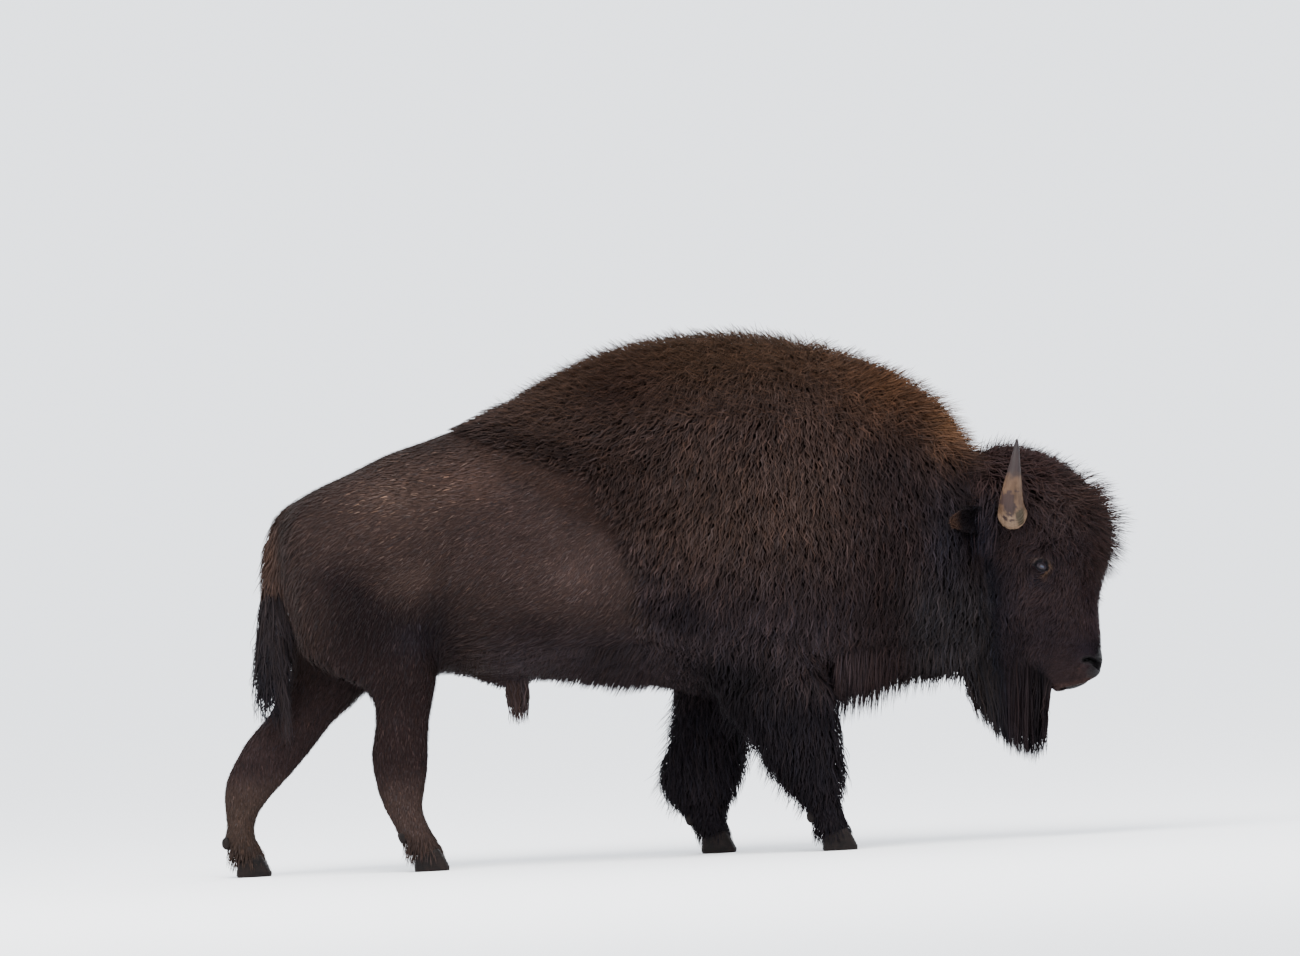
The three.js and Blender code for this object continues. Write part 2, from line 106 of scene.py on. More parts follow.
def ramp(value, start, end):
    """0 at start and before, 1 at end and beyond, smoothly between."""
    return smooth((value - start) / (end - start))


def unit(v):
    return v / np.maximum(np.linalg.norm(v, axis=-1, keepdims=True), 1e-9)


def blob(p, centre, radius):
    """1 at centre, fading out at radius (x, y, z). Both flanks alike: y counts as its size."""
    q = np.stack([p[:, 0], np.abs(p[:, 1]), p[:, 2]], 1)
    d = (q - np.array(centre)) / np.array(radius)
    return np.exp(-1.5 * np.sum(d * d, 1))


def patch(p, x, z, wide, tall):
    """As blob, on the side view alone."""
    return np.exp(-1.5 * (((p[:, 0] - x) / wide) ** 2 + ((p[:, 2] - z) / tall) ** 2))


def linear(*srgb):
    """An sRGB colour (0 to 255) as linear light."""
    c = np.array(srgb, float) / 255
    return np.where(c <= 0.04045, c / 12.92, ((c + 0.055) / 1.055) ** 2.4)


def value_noise(p, scale, seed=0):
    """Smooth noise from -1 to 1 at points p, with features about 1/scale across."""
    q = p * scale + 31.7 * (seed + 1)
    base = np.floor(q).astype(np.int64)
    f = q - base
    f = f * f * (3 - 2 * f)
    total = 0
    for corner in range(8):
        d = [(corner >> k) & 1 for k in range(3)]
        x, y, z = (base + d).T
        h = x * 73856093 ^ y * 19349663 ^ z * 83492791
        h = (h ^ (h >> 13)) * 1274126177 & 0x7FFFFFFF
        w = np.prod([f[:, k] if d[k] else 1 - f[:, k] for k in range(3)], axis=0)
        total = total + w * ((h % 65536) / 32768 - 1)
    return total


def to_line(p, points):
    """Distance of p (side view) from a polyline, and how far along that the nearest place is."""
    best, along = np.full(len(p), 9.0), np.zeros(len(p))
    points = np.array(points)
    q = p[:, [0, 2]]
    for k, (a, b) in enumerate(zip(points, points[1:])):
        t = np.clip(((q - a) @ (b - a)) / ((b - a) @ (b - a)), 0, 1)
        d = np.linalg.norm(q - a - t[:, None] * (b - a), axis=1)
        nearer = d < best
        best[nearer] = d[nearer]
        along[nearer] = ((k + t) / (len(points) - 1))[nearer]
    return best, along


def between(value, low, high):
    return (value > low) & (value < high)


def bell(value, wide):
    """1 at 0, fading out about wide from it."""
    return np.exp(-((value / wide) ** 2))


def circle(count):
    """Angles all round."""
    return np.arange(count) * 2 * math.pi / count


def even_rows(table, steps, rounds):
    """Rows in even steps through a table, smoothed."""
    table = np.array(table)
    at = np.linspace(0, len(table) - 1, steps)
    rows = np.stack([np.interp(at, np.arange(len(table)), column) for column in table.T], 1)
    for _ in range(rounds):
        rows[1:-1] = (rows[:-2] + 2 * rows[1:-1] + rows[2:]) / 4
    return rows


def along_skin(v, n):
    """The direction v, laid into the plane that n is upright to."""
    return unit(v - np.sum(v * n, 1, keepdims=True) * n)


def turned(d, n, angle):
    """d turned by angle in the plane that n is upright to."""
    return unit(d * np.cos(angle)[:, None] + np.cross(n, d) * np.sin(angle)[:, None])


# ------------------------------------------------------------------ meshes
def read(items, name, size, kind=np.float32):
    """One property of every vertex, edge, face or loop."""
    data = np.empty(len(items) * size, kind)
    items.foreach_get(name, data)
    return data.reshape(-1, size) if size > 1 else data


def coords(mesh):
    return read(mesh.vertices, "co", 3).astype(float)


def normals(mesh):
    return read(mesh.vertex_normals, "vector", 3).astype(float)


def edges(mesh):
    return read(mesh.edges, "vertices", 2, np.int32)


def set_coords(mesh, co):
    mesh.vertices.foreach_set("co", np.ascontiguousarray(co, np.float32).ravel())
    mesh.update()


def shade_smooth(mesh):
    mesh.polygons.foreach_set("use_smooth", np.ones(len(mesh.polygons), bool))


def link_object(name, mesh):
    obj = bpy.data.objects.new(name, mesh)
    bpy.context.scene.collection.objects.link(obj)
    return obj


def make_object(name, verts, faces):
    mesh = bpy.data.meshes.new(name)
    mesh.from_pydata([tuple(v) for v in verts], [], [tuple(f) for f in faces])
    mesh.update()
    shade_smooth(mesh)
    return link_object(name, mesh)


def relax(co, e, times, weight=0.5, only=None):
    """Moves each vertex towards the mean of its neighbours."""
    n = len(co)
    count = np.maximum(np.bincount(e.ravel(), minlength=n), 1)[:, None]
    for _ in range(times):
        mean = np.stack([
            np.bincount(e[:, 0], co[e[:, 1], k], n) + np.bincount(e[:, 1], co[e[:, 0], k], n)
            for k in range(co.shape[1])
        ], 1) / count
        step = (mean - co) * weight
        if only is not None:
            step *= only[:, None]
        co = co + step
    return co


def local(co):
    """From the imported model's frame into the animal's own measure."""
    return co + OFFSET


def paint(mesh, name, colour):
    """Stores a colour for each vertex."""
    layer = mesh.color_attributes.new(name=name, type="FLOAT_COLOR", domain="POINT")
    rgba = np.ones((len(mesh.vertices), 4), np.float32)
    rgba[:, :3] = colour
    layer.data.foreach_set("color", rgba.ravel())


def add_uv(mesh, name, u, v):
    layer = mesh.uv_layers.new(name=name)
    layer.data.foreach_set("uv", np.stack([u, v], 1).astype(np.float32).ravel())


def tube(rings, closed=True):
    """Verts and faces of rings of points, with both ends capped."""
    n = len(rings[0])
    verts = [v for ring in rings for v in ring]
    faces = []
    for i in range(len(rings) - 1):
        for k in range(n):
            m = (k + 1) % n
            faces.append((i * n + k, i * n + m, (i + 1) * n + m, (i + 1) * n + k))
    if closed:
        faces += [tuple(range(n))[::-1], tuple(range((len(rings) - 1) * n, len(rings) * n))]
    return verts, faces


def shell(name, rings):
    """A closed object over rings given in the animal's measure, with its normals outward."""
    obj = make_object(name, *tube([ring - OFFSET for ring in rings]))
    bm = bmesh.new()
    bm.from_mesh(obj.data)
    bmesh.ops.recalc_face_normals(bm, faces=bm.faces)
    bm.to_mesh(obj.data)
    bm.free()
    shade_smooth(obj.data)
    return obj


# ------------------------------------------------------------------ where the coat is long
CAPE_Z = [0.40, 0.60, 0.83, 0.955, 1.09, 1.235, 1.37, 1.46, 1.60]
CAPE_X = [1.46, 1.44, 1.36, 1.345, 1.20, 0.97, 0.78, 0.68, 0.60]
WOOL_Z = [0.40, 0.60, 0.83, 0.955, 1.09, 1.235, 1.32, 1.40, 1.47, 1.60]
WOOL_X = [1.46, 1.44, 1.42, 1.42, 1.37, 1.28, 1.10, 0.88, 0.76, 0.68]


def cape(p):
    """1 on the dark fore part, 0 on the lighter hind part."""
    edge = np.interp(p[:, 2], CAPE_Z, CAPE_X) + 0.02 * value_noise(p, 14)
    return ramp(p[:, 0] - edge, -0.03, 0.03)


def woolly(p):
    """1 where the coat is long wool, 0 where it is short, growing over about a third of a metre."""
    edge = np.interp(p[:, 2], WOOL_Z, WOOL_X) + 0.03 * value_noise(p, 9, 2)
    return ramp(p[:, 0] - edge, -0.17, 0.17)


def on_head(p):
    """1 on the head, 0 behind the throat."""
    return ramp(p[:, 0] + 0.06 * (p[:, 2] - 1.2), 2.40, 2.47)


def on_foreleg(p):
    return ramp(p[:, 2], 0.60, 0.50) * ramp(p[:, 0], 1.30, 1.36) * ramp(p[:, 0], 2.12, 2.02)


def is_ear(p):
    return (np.abs(p[:, 1]) > 0.172) & between(p[:, 0], 2.33, 2.47) & between(p[:, 2], 0.98, 1.09)


def depth(p):
    """How far the skin lies under the tips of the coat."""
    x, z = p[:, 0], p[:, 2]
    d = 0.008 - 0.004 * ramp(x, 0.80, 0.70) * ramp(z, 0.60, 0.20)
    wool = 0.042 + 0.03 * ramp(z, 0.66, 0.52)
    d += (wool - d) * woolly(p)
    leg = np.interp(z, [0.05, 0.12, 0.2, 0.3, 0.5], [0.003, 0.008, 0.018, 0.034, 0.046])
    d += (leg - d) * on_foreleg(p)
    side = np.interp(z, [0.5, 0.58, 0.66, 0.78, 0.9, 0.98, 1.08, 1.2],
                     [0.004, 0.006, 0.012, 0.017, 0.021, 0.031, 0.050, 0.055])
    side += 0.010 * ramp(x, 2.72, 2.80) * ramp(z, 0.68, 0.86) * ramp(z, 1.05, 0.95)
    side += (0.008 - side) * blob(p, (2.632, 0.14, 0.868), (0.07, 0.1, 0.06))
    throat = 0.036 * ramp(x, 2.62, 2.50) * ramp(z, 0.85, 0.65)
    d += (side + throat - d) * on_head(p)
    return np.minimum(d, 0.075)


# ------------------------------------------------------------------ skin
def welded(node, grow=0.0):
    """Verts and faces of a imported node, welded and grown outward."""
    bm = bmesh.new()
    bm.from_mesh(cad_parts[node].data)
    bmesh.ops.remove_doubles(bm, verts=bm.verts, dist=1e-5)
    bm.normal_update()
    verts = [v.co + v.normal * grow for v in bm.verts]
    bm.verts.index_update()
    faces = [[v.index for v in f.verts] for f in bm.faces]
    bm.free()
    return verts, faces


def ellipsoid(centre, radii, across=20, up=12):
    turn = circle(across)
    rings = []
    for i in range(up + 1):
        a = math.pi * (0.02 + 0.96 * i / up)
        x, y = math.sin(a) * np.cos(turn), math.sin(a) * np.sin(turn)
        rings.append(np.stack([x, y, np.full(across, -math.cos(a))], 1) * radii + centre)
    return tube(rings)


def voxel_remesh(obj, size):
    mod = obj.modifiers.new("voxels", "REMESH")
    mod.mode = "VOXEL"
    mod.voxel_size = size
    depsgraph = bpy.context.evaluated_depsgraph_get()
    made = bpy.data.meshes.new_from_object(obj.evaluated_get(depsgraph))
    obj.modifiers.clear()
    obj.data = made
    shade_smooth(made)


def keep_largest(mesh):
    """Leaves only the largest connected piece of a mesh."""
    e = edges(mesh)
    label = np.arange(len(mesh.vertices))
    while True:
        low = np.minimum(label[e[:, 0]], label[e[:, 1]])
        new = label.copy()
        np.minimum.at(new, e[:, 0], low)
        np.minimum.at(new, e[:, 1], low)
        new = new[new]
        if (new == label).all():
            break
        label = new
    values, count = np.unique(label, return_counts=True)
    if len(values) == 1:
        return
    main = values[np.argmax(count)]
    bm = bmesh.new()
    bm.from_mesh(mesh)
    bm.verts.ensure_lookup_table()
    bmesh.ops.delete(bm, geom=[v for v in bm.verts if label[v.index] != main], context="VERTS")
    bm.to_mesh(mesh)
    bm.free()
    shade_smooth(mesh)


def nearest(tree, points):
    """Nearest place, normal there and distance for each point (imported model's frame)."""
    place = np.empty((len(points), 3))
    normal = np.empty((len(points), 3))
    far = np.empty(len(points))
    for i, p in enumerate(points.tolist()):
        hit = tree.find_nearest(p)
        place[i], normal[i], far[i] = hit[0], hit[1], hit[3]
    return place, normal, far


def shrink_skin(obj):
    """Draws the body's outline in by the depth of the coat, in rounds small enough not to fold."""
    outline = BVHTree.FromObject(obj, bpy.context.evaluated_depsgraph_get())
    rounds = 5
    for k in range(rounds):
        co, e = coords(obj.data), edges(obj.data)
        total = relax(depth(local(co))[:, None], e, 4)
        co = relax(co, e, 2)
        set_coords(obj.data, co)
        co = co - normals(obj.data) * total / rounds
        set_coords(obj.data, relax(co, e, 1, 0.35))
        voxel_remesh(obj, SKIN_VOXEL)
        keep_largest(obj.data)
    # what the smoothing took off besides is given back
    co, e, no = coords(obj.data), edges(obj.data), normals(obj.data)
    far = nearest(outline, co)[2]
    lost = np.clip(far - depth(local(co)), -0.01, 0.02)[:, None]
    co = co + no * relax(lost, e, 5) * 0.8
    set_coords(obj.data, relax(co, e, 1, 0.4))


def refine(mesh, areas):
    """Splits each edge that has an end near one of the areas (centre, distance), on both sides."""
    p = local(coords(mesh))
    p[:, 1] = np.abs(p[:, 1])
    near = np.any([np.linalg.norm(p - centre, axis=1) < far for centre, far in areas], axis=0)
    mark = set(np.nonzero(near)[0].tolist())
    bm = bmesh.new()
    bm.from_mesh(mesh)
    bm.verts.ensure_lookup_table()
    cut = [e for e in bm.edges if e.verts[0].index in mark or e.verts[1].index in mark]
    bmesh.ops.subdivide_edges(bm, edges=cut, cuts=1, use_grid_fill=True)
    bm.to_mesh(mesh)
    bm.free()
    shade_smooth(mesh)
    co = coords(mesh)
    set_coords(mesh, relax(co, edges(mesh), 3, 0.5, np.arange(len(co)) >= len(p)))


# ------------------------------------------------------------------ head: eyes, nostrils, mouth
NOSTRIL = [(2.794, 0.541), (2.782, 0.553), (2.766, 0.565), (2.752, 0.564)]
MOUTH = [(2.812, 0.524), (2.788, 0.502), (2.750, 0.485), (2.700, 0.476), (2.660, 0.476)]
NOSTRIL_FOLD = [(2.748, 0.560), (2.728, 0.540), (2.715, 0.515)]
NOSE_RIDGE = [(2.66, 0.80), (2.71, 0.70), (2.745, 0.62)]
# places on the lids are measured on the lids' ball; between them the skin sinks to the socket
LID_BALL = 0.0225
LID_RADIUS = 0.0238
SOCKET_RADIUS = 0.0160
LID_CREASE = 0.0062


def eye_frame(side):
    """Eye centre, the way it looks, along its slit towards the nose, and up across the slit."""
    out = unit(np.array([0.20, side, 0.04]))
    slit = np.array([0.91, 0, -0.41])
    slit = unit(slit - (slit @ out) * out)
    up = np.cross(slit, out) * side
    return EYE * (1, side, 1), out, slit, up


def lid_edge(across, up):
    """Distance of a place on the lids' ball outside the opening between them."""
    back = 1 - np.clip(np.abs(across) / 0.0205, 0, 1) ** 2.2
    half = np.where(up > 0, 0.0142, 0.0104) * back
    corner = 0.0018 * ramp(across, 0.012, 0.019) * ramp(across, 0.029, 0.025)
    return np.abs(up) - np.maximum(half, corner) + 0.004 * ramp(np.abs(across), 0.021, 0.03)


def eye_place(p, side):
    """How far ahead of the eye p lies, across and up on the lids' ball, and off the eye's axis."""
    centre, out, slit, up = eye_frame(side)
    w = p - centre
    k = LID_BALL / np.maximum(np.linalg.norm(w, axis=1), 1e-6)
    return w @ out, (w @ slit) * k, (w @ up) * k, np.hypot(w @ slit, w @ up)


def sculpt_eyes(p):
    """Lids with their rims and folds, and the sockets between them."""
    for side in SIDES.values():
        centre, out, slit, up = eye_frame(side)
        facing, across, high, off_axis = eye_place(p, side)
        near = ramp(off_axis, 0.046, 0.027) * (facing > -0.02)
        edge = lid_edge(across, high)
        # vertices beside the rim are brought onto it
        pull = np.where(np.abs(edge) < 0.0012, -edge, 0) * np.sign(high)
        sideways = across[:, None] * slit + (high + pull)[:, None] * up
        ahead = np.sqrt(np.maximum(LID_BALL**2 - across**2 - high**2, 1e-6))
        way = unit(sideways + np.where(facing > 0.004, ahead, facing)[:, None] * out)
        reach = SOCKET_RADIUS + (LID_RADIUS - SOCKET_RADIUS) * ramp(edge, -0.0007, 0.0005)
        reach += 0.0012 * bell(edge - 0.0022, 0.0016)
        reach -= 0.0018 * bell(edge - LID_CREASE, 0.0011) * ramp(off_axis, 0.010, 0.014)
        reach -= 0.0010 * bell(edge - LID_CREASE - 0.0045, 0.0010)
        p = p + (centre + way * reach[:, None] - p) * near[:, None]
    return p


# height, centre and radius of each lump: brow, cheek and jaw, hollow of the face, muzzle, pad
HEAD_LUMPS = [
    (0.012, (2.632, 0.15, 0.905), (0.055, 0.06, 0.028)),
    (0.006, (2.60, 0.15, 0.85), (0.05, 0.06, 0.045)),
    (0.007, (2.55, 0.13, 0.74), (0.09, 0.08, 0.11)),
    (-0.007, (2.715, 0.12, 0.80), (0.05, 0.07, 0.07)),
    (0.011, (2.80, 0.055, 0.565), (0.04, 0.04, 0.045)),
    (0.005, (2.815, 0.0, 0.55), (0.03, 0.05, 0.05)),
]
# hip bone, hollow of the flank, seat bone, thigh, hollow beside the tail
BODY_LUMPS = [
    (0.014, (0.60, 0.20, 1.175), (0.10, 0.12, 0.075)),
    (-0.013, (0.80, 0.25, 1.04), (0.12, 0.12, 0.11)),
    (0.008, (0.27, 0.15, 1.10), (0.07, 0.10, 0.09)),
    (0.010, (0.42, 0.24, 0.82), (0.14, 0.12, 0.17)),
    (-0.012, (0.24, 0.16, 0.86), (0.035, 0.09, 0.12)),
]


def lumps(p, table):
    return sum(height * blob(p, centre, radius) for height, centre, radius in table)


def sculpt_head(p, n):
    """Bones and muscle under the face, nostrils and mouth."""
    x, z = p[:, 0], p[:, 2]
    q = np.abs(p[:, 1])
    out = lumps(p, HEAD_LUMPS)
    out += 0.005 * bell(to_line(p, NOSE_RIDGE)[0], 0.018) * ramp(q, 0.04, 0.07)
    front = ramp(x, 2.60, 2.66)
    far, along = to_line(p, NOSTRIL)
    far = far / np.interp(along, [0, 0.35, 0.75, 1], [0.0115, 0.0105, 0.0060, 0.0035])
    wing = ramp(z - np.interp(x, [2.752, 2.794], [0.564, 0.541]), -0.012, 0.012)
    rim = bell(far - 1.45, 0.38) * (0.0015 + 0.0035 * wing)
    out += (rim - 0.024 * ramp(far, 1.12, 0.55)) * (ramp(q, 0.026, 0.034) * front)
    # the fold that runs from the nostril's upper end back over the lip
    fold, _ = to_line(p, NOSTRIL_FOLD)
    out -= 0.0030 * bell(fold, 0.005) * front
    out += 0.0030 * bell(fold - 0.013, 0.008) * front * ramp(q, 0.02, 0.05)
    line, along = to_line(p, MOUTH)
    mouth = front * ramp(along, 1.0, 0.93)
    out -= 0.0085 * bell(line, 0.0036) * mouth
    lip = np.interp(x, [2.66, 2.70, 2.75, 2.788], [0.476, 0.476, 0.485, 0.502])
    below = ramp(z - lip, 0.002, -0.004)
    out += (0.0026 - 0.0030 * below) * bell(line - 0.009, 0.005) * mouth
    out -= 0.0060 * below * mouth * ramp(line, 0.05, 0.01)
    # skin grain: wrinkles across the muzzle's side
    wrinkle = np.sin((x * 0.55 + z) * 2 * math.pi / 0.0095 + 3 * value_noise(p, 60))
    out += 0.0006 * wrinkle * blob(p, (2.74, 0.08, 0.54), (0.05, 0.06, 0.04))
    return p + n * out[:, None]


def sculpt_body(p, n):
    """Hip bones, hollow of the flank, folds and muscles of the hind part."""
    q = np.abs(p[:, 1])
    out = lumps(p, BODY_LUMPS)
    fold, _ = to_line(p, [(0.70, 0.64), (0.675, 0.75), (0.69, 0.88), (0.74, 0.97)])
    out -= 0.012 * bell(fold, 0.028) * ramp(q, 0.10, 0.16)
    stifle, _ = to_line(p, [(0.62, 0.62), (0.605, 0.72)])
    out += 0.010 * bell(stifle, 0.045) * ramp(q, 0.05, 0.12)
    for k in range(5):
        x = 0.93 + 0.075 * k
        rib, _ = to_line(p, [(x - 0.05, 0.80), (x, 1.0), (x + 0.02, 1.14)])
        out += 0.0025 * bell(rib, 0.016) * ramp(q, 0.18, 0.24)
    return p + n * (out * (1 - woolly(p)) * ramp(p[:, 2], 0.35, 0.5))[:, None]


def sculpt_feet(p, n):
    """Pads that the dewclaws sit in."""
    out = np.zeros(len(p))
    for toe, side in FEET.values():
        for s in (-0.0125, 0.0125):
            d = (p - np.array([toe - 0.134, side + s, 0.125])) / np.array([0.03, 0.02, 0.024])
            out += 0.009 * np.exp(-np.sum(d * d, 1))
    return p + n * out[:, None]

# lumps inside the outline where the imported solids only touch: centre, radii
PLUGS = [
    ((2.55, 0, 0.60), (0.15, 0.075, 0.085)),
    ((2.44, 0, 0.59), (0.10, 0.075, 0.065)),
    ((0.93, 0, 0.58), (0.05, 0.03, 0.03)),
]
# behind the eye, in the root of the horn and in that of the ear, on both sides
PAIRED_PLUGS = [
    ((2.627, 0.118, 0.870), (0.05, 0.045, 0.05)),
    ((2.546, 0.135, 1.042), (0.062, 0.06, 0.062)),
    ((2.455, 0.16, 1.04), (0.05, 0.04, 0.05)),
]
PLUGS += [((x, s * y, z), radii) for s in (-1, 1) for (x, y, z), radii in PAIRED_PLUGS]
PLUGS += [((toe - 0.066, y, 0.062), (0.044, 0.040, 0.034)) for toe, y in FEET.values()]
# the dock of the tail runs on inside its tassel
PLUGS += [((0.152 - 0.033 * t, 0, 0.92 - 0.30 * t), (0.032 - 0.006 * t, 0.030 - 0.006 * t, 0.04))
          for t in np.arange(9) / 8]
PLUGS += [((x, 0, z), (wide, 0.036, 0.05)) for x, z, wide in (
    (0.216, 1.140, 0.030), (0.190, 1.10, 0.036), (0.167, 1.04, 0.040), (0.161, 0.97, 0.040),
    (0.157, 0.91, 0.040))]
# the head's mesh is made finer in turn near these places: centre, distance
FINER = [
    [((2.70, 0.06, 0.78), 0.30)],
    [(EYE, 0.062), ((2.76, 0.04, 0.54), 0.11)],
    [(EYE, 0.045), ((2.775, 0.065, 0.553), 0.045), ((2.74, 0.06, 0.492), 0.055)],
    [(EYE, 0.028)],
]


def build_skin():
    """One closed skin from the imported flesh: joined, drawn in, refined and sculpted."""
    verts, faces = [], []
    parts = [welded(node, 0.0012) for node in FLESH]
    parts += [ellipsoid(centre - OFFSET, radii) for centre, radii in PLUGS]
    for part_verts, part_faces in parts:
        faces += [[i + len(verts) for i in f] for f in part_faces]
        verts += list(part_verts)
    obj = make_object("skin", verts, faces)
    voxel_remesh(obj, BODY_VOXEL)
    shrink_skin(obj)
    lap("skin drawn in: %d vertices" % len(obj.data.vertices))
    for areas in FINER:
        refine(obj.data, areas)
    p, no = local(coords(obj.data)), normals(obj.data)
    p = sculpt_feet(sculpt_body(p, no), no)
    set_coords(obj.data, p - OFFSET)
    p = sculpt_head(local(coords(obj.data)), normals(obj.data))
    set_coords(obj.data, sculpt_eyes(p) - OFFSET)
    for side in SIDES.values():
        add_ear(obj, side)
    lap("skin sculpted: %d vertices" % len(obj.data.vertices))
    return obj


# along the ear from root to tip: x, side, z, half its height, half its thickness
EAR = [
    (2.455, 0.130, 1.040, 0.018, 0.016), (2.466, 0.150, 1.040, 0.022, 0.016),
    (2.440, 0.198, 1.038, 0.036, 0.013), (2.410, 0.232, 1.034, 0.041, 0.010),
    (2.378, 0.258, 1.032, 0.031, 0.007), (2.354, 0.274, 1.031, 0.014, 0.004),
]


def add_ear(skin_obj, side):
    """A leaf with a hollow front, joined into the skin."""
    rows = even_rows(EAR, 18, 1)
    a = circle(20)
    across = np.cos(a)
    rings = []
    for i, (x, y, z, tall, thick) in enumerate(rows):
        ahead, behind = rows[min(i + 1, len(rows) - 1)], rows[max(i - 1, 0)]
        front = unit(np.cross(unit((ahead - behind)[:3]), UP))
        if front[0] < 0:
            front = -front
        hollow = 0.55 * tall * (1 - np.abs(across) ** 2.2) * smooth((i - 3) / 5)
        thickness = np.sin(a) * thick - np.where(np.sin(a) > 0, 1.0, 0.75) * hollow
        ring = np.array([x, y, z]) + across[:, None] * tall * UP + thickness[:, None] * front
        ring[:, 1] *= side
        rings.append(ring[::side])
    ear = shell("ear", rings)
    bm = bmesh.new()
    bm.from_mesh(ear.data)
    bm.from_mesh(skin_obj.data)
    bm.to_mesh(skin_obj.data)
    bm.free()
    bpy.data.objects.remove(ear)
    shade_smooth(skin_obj.data)


# ------------------------------------------------------------------ markings of skin and coat
def bare(p):
    """1 where no hair grows: nose pad, lips' edge, eyelids."""
    x, z = p[:, 0], p[:, 2]
    top = 0.604 + 0.010 * value_noise(p, 70, 3)
    back = 2.772 + 0.010 * value_noise(p, 55, 6) + 0.5 * (z - 0.55)
    pad = ramp(x - back, -0.010, 0.010) * ramp(z - top, 0.010, -0.010) * ramp(z, 0.500, 0.508)
    nostril = ramp(to_line(p, NOSTRIL)[0], 0.019, 0.014) * ramp(np.abs(p[:, 1]), 0.02, 0.03)
    pad = np.maximum(pad, nostril * ramp(x, 2.6, 2.65))
    pad = np.maximum(pad, ramp(to_line(p, MOUTH)[0], 0.010, 0.006) * ramp(x, 2.675, 2.70))
    for side in SIDES.values():
        facing, across, high, off_axis = eye_place(p, side)
        lids = ramp(lid_edge(across, high), 0.0075, 0.0050) * (facing > 0)
        pad = np.maximum(pad, lids * ramp(off_axis, 0.035, 0.030))
    return pad


# brings the colours of the markings down to how much light hair gives back
ALBEDO = np.array([0.44, 0.43, 0.455])


def over(colour, layers):
    """Lays sRGB colours over a linear one in turn, each by its amount."""
    for srgb, amount in layers:
        colour = colour + (linear(*srgb) - colour) * np.clip(amount, 0, 1)[:, None]
    return colour


